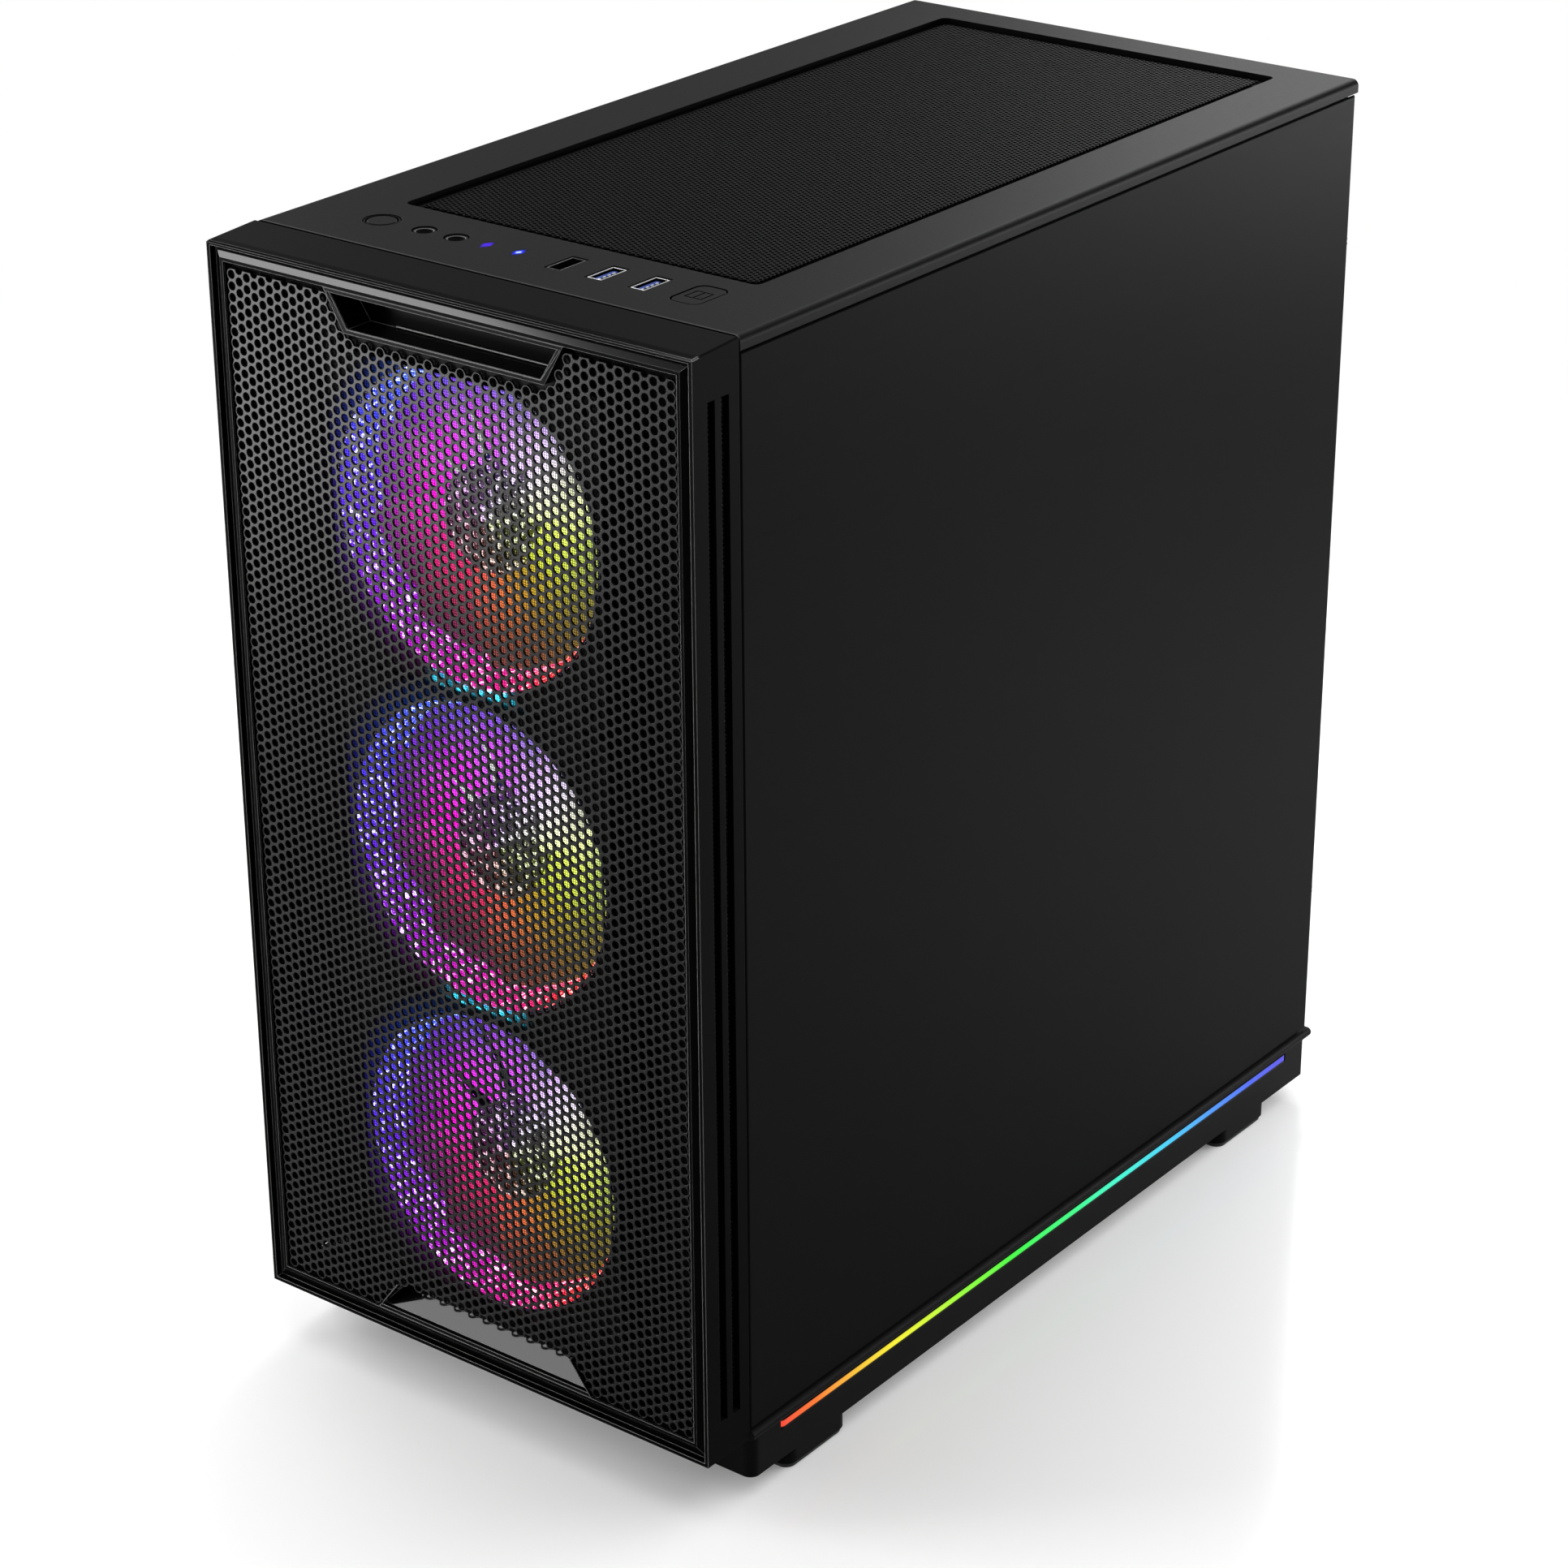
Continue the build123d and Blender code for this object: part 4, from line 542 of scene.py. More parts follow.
def lit_blades(still):
    """Frosted blades lit from the rim, and a dark hub with painted glints."""
    finish = Finish("lit_blades")
    angle, reach = round_fan(finish, still)[:2]
    hub = reach < HUB_EDGE
    near_hub = 1 - finish.ease(reach, 0.018, 0.050)
    below = between(finish, angle, (0.54, 0.64), (0.90, 0.98))
    cloud = finish.noise(finish.place(), 60.0)
    # painted glints: small bright spots glowing on the hub, which is no lamp
    painted_glint = finish.ease(finish.noise(finish.place(), 520.0, 3.0), 0.50, 0.60)
    outside = finish.ease(reach, 0.030, 0.052)
    light = finish.blend(outside, finish.ramp(angle, BLADE_COLORS), finish.ramp(angle, OUTER_COLORS))
    light = finish.blend(hub * painted_glint * 0.5, light, grey(255))
    blade = (0.55 + near_hub * 0.6 + cloud * 0.2) * (1 - below * (1 - near_hub) * 0.4)
    share = (1 - hub) * blade + hub * (0.05 + painted_glint * 0.9)
    return finish.surface({
        "Base Color": finish.blend(hub, grey(90), grey(40)),
        "Roughness": 0.24 + cloud * 0.2,
        "Emission Color": finish.blend(share, grey(0), light),
        "Emission Strength": 2.2})


def lit_ring(still):
    """Sparkling inside; the front rim is dark but for the arc under a fan."""
    finish = Finish("lit_ring")
    angle, _, depth, higher = round_fan(finish, still)
    sparkle = finish.ease(finish.noise(finish.place(), 420.0, 3.0), 0.52, 0.66)
    inside = finish.ease(depth, FRONT + (RING_FRONT + 0.1) * MM, FRONT + (RING_FRONT + 0.5) * MM)
    arc = low_arc(finish, angle, higher)
    light = finish.blend(sparkle * 0.4, finish.ramp(angle, RING_COLORS), grey(255))
    glow = finish.blend(arc, color(2, 3, 12), color(16, 100, 130))
    glow = finish.blend(sparkle * arc * 0.6, glow, color(150, 240, 250))
    return finish.surface({
        "Base Color": grey(60),
        "Roughness": 0.25,
        "Emission Color": finish.blend(inside, glow, finish.blend(0.3 + sparkle * 0.7, grey(0), light)),
        "Emission Strength": 5.0})


def lit_frame():
    """Black plastic that catches a little of the ring's light at the left."""
    finish = Finish("lit_frame")
    angle, reach, _, higher = round_fan(finish, None)
    grain = finish.noise(finish.place(), 1800.0)
    near_ring = 1 - finish.ease(reach, 0.0575, 0.068)
    left = between(finish, angle, (0.26, 0.36), (0.60, 0.72))
    sparkle = finish.ease(finish.noise(finish.place(), 420.0, 3.0), 0.46, 0.62)
    glow = finish.blend(near_ring * left * 0.06, grey(0), finish.ramp(angle, RING_COLORS))
    arc = low_arc(finish, angle, higher) * (0.15 + sparkle * 0.8) * near_ring
    return finish.surface({
        "Base Color": finish.blend(grain, grey(6), grey(11)),
        "Roughness": 0.5 + grain * 0.12,
        "Specular IOR Level": 0.15,
        "Emission Color": finish.blend(arc, glow, color(60, 216, 250)),
        "Emission Strength": 3.4})


print("fan pitch", FAN_PITCH, "mm")

# %% [markdown]
# ## Boards, glass and net
# A circuit board is dark lacquer over copper: its tracks are thin raised lines that run in steps. The
# left panel is tinted glass; a plain share of see-through keeps the machine behind it in view.

# %% Boards, glass and net
TRACK_DEPTH = 0.05 * MM
BRAID = 3600.0
BRAID_DEPTH = 0.2 * MM


def circuit_board(name, steel_from):
    """Lacquered board; a bracket of bare steel begins at the depth steel_from."""
    finish = Finish(name)
    where = finish.place()
    x, depth, z = finish.split(where)
    flat = finish.node("CombineXYZ", {0: depth + x, 1: z})
    tracks = finish.node("TexBrick", {
        "Vector": flat, "Scale": 90.0, "Color1": grey(255), "Color2": grey(255), "Mortar": grey(0),
        "Mortar Size": 0.03, "Brick Width": 0.8, "Row Height": 0.16}, offset=0.37)
    fine = finish.noise(where, 500.0)
    lacquer = finish.blend(fine, color(22, 28, 27), color(34, 42, 39))
    board = finish.blend(tracks, color(72, 84, 70), lacquer)
    return finish.surface({
        "Base Color": finish.blend(depth > FRONT + steel_from * MM, board, grey(120)),
        "Roughness": 0.42 + fine * 0.1,
        "Normal": finish.bump(tracks, TRACK_DEPTH)})


def tinted_glass():
    finish = Finish("tinted_glass")
    smear = finish.noise(finish.place(), 7.0)
    return finish.surface({
        "Base Color": grey(10),
        "Roughness": 0.03 + smear * 0.04,
        "Alpha": 0.14,
        "IOR": 1.5})


def filter_net():
    finish = Finish("filter_net")
    fibre = finish.noise(finish.place(), 900.0)
    return finish.surface({
        "Base Color": finish.blend(fibre, grey(3), grey(8)),
        "Specular IOR Level": 0.04,
        "Roughness": 0.5 + fibre * 0.2})


def cable_sleeve():
    finish = Finish("cable_sleeve")
    x, y, z = finish.split(finish.place())
    braid = ((x + y + z) * BRAID).sine() * ((x + y - z) * BRAID).sine()
    return finish.surface({
        "Base Color": finish.blend(braid * 0.5 + 0.5, grey(16), grey(40)),
        "Roughness": 0.6,
        "Normal": finish.bump(braid, BRAID_DEPTH)})


print("tracks stand", TRACK_DEPTH / MM, "mm high")

# %% [markdown]
# ## One finish for each slot
# The record names a material slot for every solid. One table gives each slot its finish, and a loop
# hangs it on the solids. A second table has the few solids with a finish of their own. Curved faces
# are smoothed and true edges are kept sharp.

# %% Hang the finishes on the solids
NO_STEEL = 500.0
CARD_BRACKET = 392.0
SMOOTH_BELOW = radians(20)
FINISHES = {
    "satin_plastic": satin_plastic("satin_plastic", FRONT),
    "gloss_plastic": gloss_plastic(),
    "mesh_metal": painted_metal("mesh_metal", 8, 0.20, 0.11, dull_and_shaded_walls=True),
    "filter_net": filter_net(),
    "panel_steel": brushed_panel(),
    "chassis_steel": painted_metal("chassis_steel", 24, 0.45, 0.35),
    "tinted_glass": tinted_glass(),
    "foot_rubber": matt_plastic("foot_rubber", grey(20), 0.75),
    "lit_plastic": lit_strip(),
    "frosted_plastic": matt_plastic("frosted_plastic", grey(70), 0.35),
    "fan_plastic": matt_plastic("fan_plastic", grey(10), 0.5),
    "circuit_board": circuit_board("circuit_board", NO_STEEL),
    "socket_plastic": matt_plastic("socket_plastic", grey(15), 0.45),
    "bright_metal": bare_metal("bright_metal", grey(205), 0.22),
    "heatsink_metal": bare_metal("heatsink_metal", grey(190), 0.34, (1.0, 1.0, 6.0)),
    "dark_metal": painted_metal("dark_metal", 34, 0.4, 0.4),
    "blue_plastic": matt_plastic("blue_plastic", color(22, 60, 150), 0.4),
    "screw_metal": bare_metal("screw_metal", grey(60), 0.35),
    "cable_sleeve": cable_sleeve(),
}
DARK_PLASTIC = painted_metal("dark_plastic", 3, 0.4, 0.03)
FRAME_LIGHT = lit_frame()
OWN_FINISHES = {
    "front_bezel": bezel_plastic(),
    "indicator_windows": lit_windows(),
    "front_fan_top_frame": FRAME_LIGHT,
    "front_fan_middle_frame": FRAME_LIGHT,
    "front_fan_bottom_frame": FRAME_LIGHT,
    "audio_jacks": DARK_PLASTIC,
    "plain_usb_socket": DARK_PLASTIC,
    "blue_usb_shells": DARK_PLASTIC,
    "top_panel": satin_plastic("top_plastic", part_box("top_panel")[0].y + 0.8 * MM),
    "graphics_board": circuit_board("card_board", CARD_BRACKET),
    "port_shield": matt_plastic("shield_steel", grey(112), 0.4),
}


def smooth(mesh):
    mesh.polygons.foreach_set("use_smooth", [True] * len(mesh.polygons))
    mesh.set_sharp_from_angle(angle=SMOOTH_BELOW)


for part in frame["record"]["subparts"]:
    solid = frame["nodes"][part["node"]]
    material = OWN_FINISHES.get(part["node"], FINISHES[part["material_slot"]])
    if not solid.material_slots:
        solid.data.materials.append(material)
    for slot in solid.material_slots:
        slot.material = material
    smooth(solid.data)
print("slots with a finish:", len(FINISHES), "solids with their own:", len(OWN_FINISHES))

# %% [markdown]
# ## Making a piece
# Pieces are written in millimetres: x to the right, depth behind the bezel's front, height above the
# floor. One function turns them into a mesh in metres, hangs a finish on it, and ties it to a body.

# %% Making a piece
def add_piece(name, points, faces, slot, body="chassis", material=None, rounded=True):
    mesh = bpy.data.meshes.new(name)
    mesh.from_pydata([(x * MM, FRONT + depth * MM, z * MM) for x, depth, z in points], [], faces)
    mesh.materials.append(material or FINISHES[slot])
    if rounded:
        smooth(mesh)
    piece = bpy.data.objects.new(name, mesh)
    scene.collection.objects.link(piece)
    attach(piece, body)
    return piece


class Shape:
    """Points and faces that grow piece by piece."""

    def __init__(self):
        self.points = []
        self.faces = []

    def add(self, points, faces):
        first = len(self.points)
        self.points += points
        self.faces += [tuple(first + index for index in face) for face in faces]

    def box(self, corner, opposite):
        (x0, x1), (y0, y1), (z0, z1) = (sorted(pair) for pair in zip(corner, opposite))
        self.add([(x0, y0, z0), (x1, y0, z0), (x1, y1, z0), (x0, y1, z0),
                  (x0, y0, z1), (x1, y0, z1), (x1, y1, z1), (x0, y1, z1)],
                 [(0, 3, 2, 1), (4, 5, 6, 7), (0, 1, 5, 4), (1, 2, 6, 5), (2, 3, 7, 6), (3, 0, 4, 7)])

    def loft(self, loops, ends=(True, True), closed=False):
        """Loops of equally many points, joined in turn; ends says if the first and the last are filled."""
        rows, steps = len(loops), len(loops[0])
        faces = []
        for row in range(rows if closed else rows - 1):
            here, there = row * steps, (row + 1) % rows * steps
            for step in range(steps):
                after = (step + 1) % steps
                faces.append((here + step, here + after, there + after, there + step))
        if ends[0] and not closed:
            faces.append(tuple(range(steps))[::-1])
        if ends[1] and not closed:
            faces.append(tuple((rows - 1) * steps + step for step in range(steps)))
        self.add([point for loop in loops for point in loop], faces)

    def turned(self, profile, spot, axis, steps=32, ends=(True, True)):
        """A profile of (radius, height) pairs turned round an axis through the spot."""
        side = {"x": (1, 2, 0), "y": (2, 0, 1), "z": (0, 1, 2)}[axis]
        loops = []
        for radius, height in profile:
            loop = []
            for step in range(steps):
                turn = tau * step / steps
                point = list(spot)
                for place, value in zip(side, (radius * cos(turn), radius * sin(turn), height)):
                    point[place] += value
                loop.append(tuple(point))
            loops.append(loop)
        self.loft(loops, ends)

    def bead(self, path, radius, steps=8, closed=False):
        """A round bead along a path of points."""
        spots = [Vector(point) for point in path]
        count = len(spots)
        loops = []
        for index, spot in enumerate(spots):
            before = spots[index - 1] if index or closed else spot
            after = spots[(index + 1) % count] if index < count - 1 or closed else spot
            along = (after - before).normalized()
            side = along.cross((0, 0, 1) if abs(along.z) < 0.9 else (0, 1, 0)).normalized()
            rise = side.cross(along)
            turns = [tau * step / steps for step in range(steps)]
            loops.append([tuple(spot + radius * (side * cos(turn) + rise * sin(turn))) for turn in turns])
        self.loft(loops, closed=closed)

    def made(self, name, slot, body="chassis", material=None, rounded=True):
        return add_piece(name, self.points, self.faces, slot, body, material, rounded)


print("front of the bezel at y =", round(FRONT, 4), "m")

# %% [markdown]
# ## The punched front sheet
# The front is thin steel with some five thousand round holes, three millimetres wide, in a honeycomb.
# Its edge follows the outer holes in small arcs. Each hole is the middle of a six-sided cell, so the
# sheet is grown cell by cell: neighbours share their corners, and a corner that only one cell uses
# lies on the edge and is drawn in towards its hole, which gives the arcs.

# %% Cells of a punched sheet
def punched_sheet(centres, pitch, hole, sides, front, back, bevel, scallop, pieces, cut=()):
    """Point and face lists of a sheet with a hole at each centre, in as many pieces as asked for.
    Of the cells in cut only the lower half is left."""
    corner = pitch / sqrt(3)
    turns = [tau * k / sides for k in range(sides)]
    reach = [corner if sides == 6 or k % 2 == 0 else pitch / 2 for k in range(sides)]

    def key(spot):
        return (round(spot[0], 3), round(spot[1], 3))

    def rim(centre):
        return [(centre[0] + r * cos(t), centre[1] + r * sin(t)) for r, t in zip(reach, turns)]

    def sectors(centre):
        return [k for k in range(sides) if centre not in cut or k >= sides // 2]

    corner_uses = {}
    edge_uses = {}
    for centre in centres:
        keys = [key(spot) for spot in rim(centre)]
        for k in sectors(centre):
            edge = frozenset((keys[k], keys[(k + 1) % sides]))
            edge_uses[edge] = edge_uses.get(edge, 0) + 1
        for spot in {keys[(k + step) % sides] for k in sectors(centre) for step in (0, 1)}:
            corner_uses[spot] = corner_uses.get(spot, 0) + 1
    size = -(-len(centres) // pieces)
    for first in range(0, len(centres), size):
        points = []
        faces = []
        known = {}

        def outer(spot, centre, turn, depth):
            name = (key(spot), depth)
            if name not in known:
                if corner_uses[key(spot)] == 1:
                    spot = (centre[0] + scallop * cos(turn), centre[1] + scallop * sin(turn))
                known[name] = len(points)
                points.append((spot[0], spot[1], depth))
            return known[name]

        for centre in centres[first:first + size]:
            spots = rim(centre)
            ring = {}
            for k in sorted({(k + step) % sides for k in sectors(centre) for step in (0, 1)}):
                unit = (cos(turns[k]), sin(turns[k]))
                loop = [outer(spots[k], centre, turns[k], front)]
                for radius, depth in ((hole + bevel, front), (hole, front + bevel), (hole, back)):
                    loop.append(len(points))
                    points.append((centre[0] + radius * unit[0], centre[1] + radius * unit[1], depth))
                loop.append(outer(spots[k], centre, turns[k], back))
                ring[k] = loop
            for k in sectors(centre):
                here = ring[k]
                there = ring[(k + 1) % sides]
                faces += [(here[i], there[i], there[i + 1], here[i + 1]) for i in range(4)]
                if edge_uses[frozenset((key(spots[k]), key(spots[(k + 1) % sides])))] == 1:
                    faces.append((here[4], there[4], there[0], here[0]))
            if centre in cut:
                faces += [tuple(ring[0]), tuple(reversed(ring[sides // 2]))]
        yield points, faces


print("a cell is written once and used for the front and the top")

# %% [markdown]
# ## Holes of the front
# The holes stand in columns, and every second column is half a step higher. The ones near the two
# finger grips are left out, and the uppermost row is cut in half.

# %% Front sheet
MESH_PITCH = 4.08
MESH_HOLE = 1.5
MESH_SIDES = 12
MESH_BEVEL = 0.15
MESH_PIECES = 3
MESH_COLUMNS = 55
MESH_ROWS = 96
MESH_TOP_HOLE = 423.9
MESH_FRONT = 1.4
MESH_BACK = 2.2
MESH_EDGE = 2.05
UPPER_CLEAR = 4.4
LOWER_CLEAR = 1.2
UPPER_GRIP = ((42.3, 415.0), (50.7, 428.2))
LOWER_GRIP = ((49.8, 35.7), (40.4, 46.6))


def half_at(grip, z):
    """Half the width of a grip's mouth at a height."""
    (low_half, low), (high_half, high) = grip
    return low_half + (high_half - low_half) * (z - low) / (high - low)


def by_a_grip(x, z):
    if z > UPPER_GRIP[0][1] - UPPER_CLEAR and abs(x) < half_at(UPPER_GRIP, z) + UPPER_CLEAR:
        return True
    return z < LOWER_GRIP[1][1] + LOWER_CLEAR and abs(x) < half_at(LOWER_GRIP, z) + LOWER_CLEAR


holes = []
half_holes = set()
for row in range(2 * MESH_ROWS):
    z = MESH_TOP_HOLE - (MESH_ROWS - 1) * MESH_PITCH + row * MESH_PITCH / 2
    for column in range(row % 2, MESH_COLUMNS, 2):
        spot = ((column - MESH_COLUMNS // 2) * MESH_PITCH * sqrt(3) / 2, z)
        if not by_a_grip(*spot):
            holes.append(spot)
            if row == 2 * MESH_ROWS - 1:
                half_holes.add(spot)
front_sheets = punched_sheet(holes, MESH_PITCH, MESH_HOLE, MESH_SIDES, MESH_FRONT, MESH_BACK, MESH_BEVEL,
                             MESH_EDGE, MESH_PIECES, half_holes)
for index, (points, faces) in enumerate(front_sheets):
    upright = [(u, depth, v) for u, v, depth in points]
    sheet = add_piece(f"front_mesh_{index}", upright, faces, "mesh_metal", "front_panel")
    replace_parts(sheet, "front_mesh")
print("holes in the front:", len(holes))

# %% [markdown]
# ## The net behind it
# A fine black nylon net lies behind the punched sheet. Its threads are about an eighth of a millimetre
# thick and lie not quite one millimetre apart, so thin bars in two directions are enough.

# %% Front net
NET_STEP = 0.9
NET_THREAD = 0.12
NET_FRONT = 2.5
NET_HALF = 97.5
NET_LOW = 50.4
NET_HIGH = 411.2
NET_NOTCH = 55.5
NET_ENDS = (34.2, 428.0)


def net_bar(x, z, wide, tall, depth):
    net.box((x, depth, z), (x + wide, depth + NET_THREAD, z + tall))


net = Shape()
steps_across = int(2 * NET_HALF / NET_STEP)
for step in range(steps_across + 1):
    x = -NET_HALF + step * NET_STEP
    low, high = (NET_LOW, NET_HIGH) if abs(x) < NET_NOTCH else NET_ENDS
    net_bar(x, low, NET_THREAD, high - low, NET_FRONT)
steps_up = int((NET_ENDS[1] - NET_ENDS[0]) / NET_STEP)
for step in range(steps_up + 1):
    z = NET_ENDS[0] + step * NET_STEP
    if NET_LOW < z < NET_HIGH:
        net_bar(-NET_HALF, z, 2 * NET_HALF, NET_THREAD, NET_FRONT + NET_THREAD / 2)
    else:
        for x in (-NET_HALF, NET_NOTCH):
            net_bar(x, z, NET_HALF - NET_NOTCH, NET_THREAD, NET_FRONT + NET_THREAD / 2)
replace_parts(net.made("front_net", "filter_net", "front_panel", rounded=False), "front_filter")
print("threads in the net:", steps_across + steps_up + 2)

# %% [markdown]
# ## Round the grips
# Behind the sheet each grip has a flat flange on three of its sides, and two thin beads catch the light
# at the upper one. A flange is two outlines, one inside the other, at a front and a rear depth.

# %% Flanges and beads of the grips
FLANGE = (1.3, 8.0)
FLANGE_DEPTHS = (2.9, 3.7)
UPPER_MOUTH = ((42.3, 415.0), (48.4, 424.6))
LOWER_MOUTH = ((46.5, 39.5), (40.4, 46.6))
INNER_BEAD = ((-30.0, 12.1, 415.5), (43.5, 12.1, 415.5))
OUTER_BEAD = ((-49.8, 0.95, 427.0), (-42.1, 0.95, 414.9), (42.1, 0.95, 414.9), (49.8, 0.95, 427.0))


def grip_flange(name, mouth, shut):
    """A flat frame round a grip's mouth, behind the punched sheet; shut is the side without a flange."""
    low, high = mouth[0][1], mouth[1][1]
    shape = Shape()
    loops = []
    for reach in FLANGE:
        bottom = low if shut == "low" else low - reach
        top = high if shut == "high" else high + reach
        half = [half_at(mouth, z) + reach for z in (bottom, top)]
        loops.append([(-half[0], bottom), (half[0], bottom), (half[1], top), (-half[1], top)])
    open_side = {"low": 0, "high": 2}[shut]
    for depth in FLANGE_DEPTHS:
        shape.points += [(x, depth, z) for loop in loops for x, z in loop]
    for side in range(4):
        if side == open_side:
            continue
        after = (side + 1) % 4
        inner = (side, after, after + 8, side + 8)
        outer = tuple(index + 4 for index in inner)
        shape.faces += [(side, side + 4, after + 4, after), (side + 8, after + 8, after + 12, side + 12),
                        inner, outer[::-1]]
    for corner in (open_side, (open_side + 1) % 4):
        shape.faces.append((corner, corner + 4, corner + 12, corner + 8))
    shape.made(name, "satin_plastic", "front_panel", rounded=False)


grip_flange("upper_grip_flange", UPPER_MOUTH, "high")
grip_flange("lower_grip_flange", LOWER_MOUTH, "low")
lines = Shape()
lines.bead(INNER_BEAD, 0.45)
lines.bead(OUTER_BEAD, 0.42)
lines.made("upper_grip_beads", "gloss_plastic", "front_panel")
print("grip flanges: 2")

# %% [markdown]
# ## Behind the side vents
# A net closes the long vents at the side of the bezel, and a solid sheet behind its threads stands in
# for the shade inside the vents. Behind it the chassis steel is folded, and a crossbar closes the gap
# above the top fan; both also keep these gaps in shade. All of these are flat, so boxes are enough.

# %% Vent nets, folds and crossbar
VENT_X = (100.4, 100.7, 101.6)
VENT_DEPTHS = (6.6, 19.4)
VENT_HEIGHTS = (40.0, 420.0)
VENT_STEP = 1.6
VENT_THREAD = 0.4
FOLD_X = (88.0, 100.6, 101.6)
FOLD_DEPTHS = (19.8, 33.4)
FOLD_HEIGHTS = (32.0, 429.0)
STEEL = 1.0
BAR_HALF = 87.0
BAR_DEPTHS = (34.0, 41.0)
BAR_HEIGHTS = (408.0, 428.0)
HANDS = (("right", 1), ("left", -1))

for side, hand in HANDS:
    inner, backed, outer = (hand * x for x in VENT_X)
    (near, far), (low, high) = VENT_DEPTHS, VENT_HEIGHTS
    net_and_shade_sheet = Shape()
    # a solid sheet behind the threads, put there as the shade inside the vents
    net_and_shade_sheet.box((inner, near, low), (backed, far, high))
    for step in range(int((high - low) / VENT_STEP)):
        z = low + step * VENT_STEP
        net_and_shade_sheet.box((inner, near, z), (outer, far, z + VENT_THREAD))
    net_and_shade_sheet.made(f"{side}_vent_net", "filter_net", "front_panel", rounded=False)

for side, hand in HANDS:
    reach, inner, outer = (hand * x for x in FOLD_X)
    (near, far), (low, high) = FOLD_DEPTHS, FOLD_HEIGHTS
    fold = Shape()
    # steel folds that also close the gap behind the bezel, so that it stays in shade
    fold.box((inner, near, low), (outer, far, high))
    fold.box((reach, far - STEEL, low), (outer, far, high))
    fold.made(f"{side}_front_fold", "chassis_steel", "chassis", rounded=False)

(near, far), (low, high) = BAR_DEPTHS, BAR_HEIGHTS
crossbar = Shape()
# a crossbar that also closes the gap above the top fan, so that it stays in shade
crossbar.box((-BAR_HALF, near, low), (BAR_HALF, near + STEEL, high))
crossbar.box((-BAR_HALF, near + STEEL, low), (BAR_HALF, far, low + STEEL))
crossbar.made("front_crossbar", "chassis_steel", rounded=False)
print("vent nets: 2, front folds: 2, crossbars: 1")

# %% [markdown]
# ## Fan wheels
# A fan wheel is a rounded hub with curved blades that overlap when seen from the front. A blade is a
# bent sheet: along its radius it leans forward, and across it goes from the front to the rear edge
# while it turns about the axis. Two such sheets, a little apart, close to one blade.

# %% A fan wheel
BLADE_STEPS = (9, 10)
BLADE_THICK = 1.3
HUB_ROUND = 2.2
HUB_DIMPLE = 0.35
ROOT_OVERLAP = 0.6


def fan_wheel(spot, axis, hub, tip, blades, hub_span, count, wrap, lean):
    """The hub fills hub_span along the axis; the blades reach out to tip, between the depths in blades."""
    wheel = Shape()
    front, rear = blades
    arc = [(hub - HUB_ROUND + HUB_ROUND * sin(a), hub_span[0] + HUB_ROUND * (1 - cos(a)))
           for a in (radians(15 * k) for k in range(7))]
    wheel.turned([(hub * HUB_DIMPLE, hub_span[0])] + arc + [(hub, hub_span[1])], spot, axis, 48)
    around, across = BLADE_STEPS
    for blade in range(count):
        points = []
        for side in (-0.5, 0.5):
            for i in range(around):
                share = i / (around - 1)
                radius = hub - ROOT_OVERLAP + (tip - hub + ROOT_OVERLAP) * share
                for j in range(across):
                    cross = j / (across - 1)
                    turn = tau * blade / count + (radians(lean) * share ** 1.5
                                                  + radians(wrap) * (1 - 0.12 * share) * (cross - 0.5))
                    belly = sin(pi * cross) * 0.12 * (rear - front)
                    edge = 0.10 * (rear - front) * share
                    taper = max(0.25, sin(pi * cross) ** 0.5)
                    u, v = radius * cos(turn), radius * sin(turn)
                    w = front + edge + (rear - front - 2 * edge) * cross + belly + side * BLADE_THICK * taper
                    local = (u, w, v) if axis == "y" else (u, v, w)
                    points.append(tuple(a + b for a, b in zip(spot, local)))
        half = around * across
        faces = []
        for i in range(around - 1):
            for j in range(across - 1):
                a, b = i * across + j, i * across + j + 1
                c, d = b + across, a + across
                faces += [(a, b, c, d), (half + d, half + c, half + b, half + a)]
        loop = ([j for j in range(across)] + [i * across + across - 1 for i in range(1, around)]
                + [(around - 1) * across + j for j in range(across - 2, -1, -1)]
                + [i * across for i in range(around - 2, 0, -1)])
        for a, b in zip(loop, loop[1:] + loop[:1]):
            faces.append((b, a, half + a, half + b))
        wheel.add(points, faces)
    return wheel


print("a blade has", 2 * BLADE_STEPS[0] * BLADE_STEPS[1], "points")

# %% [markdown]
# ## The eight fans
# Five fans share one form of wheel, with nine blades; the three in front also have a lit ring whose
# mouth opens like a bell. The fans of the graphics card and of the supply lie flat and take their size
# from the solids that they replace.

# %% Fans
FRONT_FANS = {"front_fan_top": FAN_MIDDLE + FAN_PITCH, "front_fan_middle": FAN_MIDDLE,
              "front_fan_bottom": FAN_MIDDLE - FAN_PITCH}
FRONT_FAN_DEPTH = 8.5
RING_OUT = 58.3
RING_MOUTH = 57.4
RING_IN = 54.2
RING_BACK = 33.2
MOUTH_DEPTH = 6.4
WHEEL_HUB = 19.0
WHEEL_BLADES = (10.3, 21.1)
WHEEL_SPAN = (9.5, 21.5)
WHEEL_FORM = (9, 58, 16)
FRONT_TIP = 53.4
CASE_TIP = 55.4
CASE_FANS = (("rear_fan", -30.0, 358.0, 375.0), ("cooler_fan", -20.0, 348.0, 254.0))
FLAT_FANS = (("graphics_fan_front", "graphics_rotor_front"), ("graphics_fan_rear", "graphics_rotor_rear"),
             ("supply_fan", "supply_rotor"))
FLAT_FORM = (11, 44, 22)
FLAT_GAP = 0.8
FLAT_HUB = 0.36
TIP_GAP = 0.2


def upright_fan(fan, x, z, front, tip, material=None):
    blades, span = ([front + depth for depth in depths] for depths in (WHEEL_BLADES, WHEEL_SPAN))
    wheel = fan_wheel((x, 0, z), "y", WHEEL_HUB, tip, blades, span, *WHEEL_FORM)
    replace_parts(wheel.made(f"{fan}_wheel", "frosted_plastic", f"{fan}_spinner", material), f"{fan}_rotor")


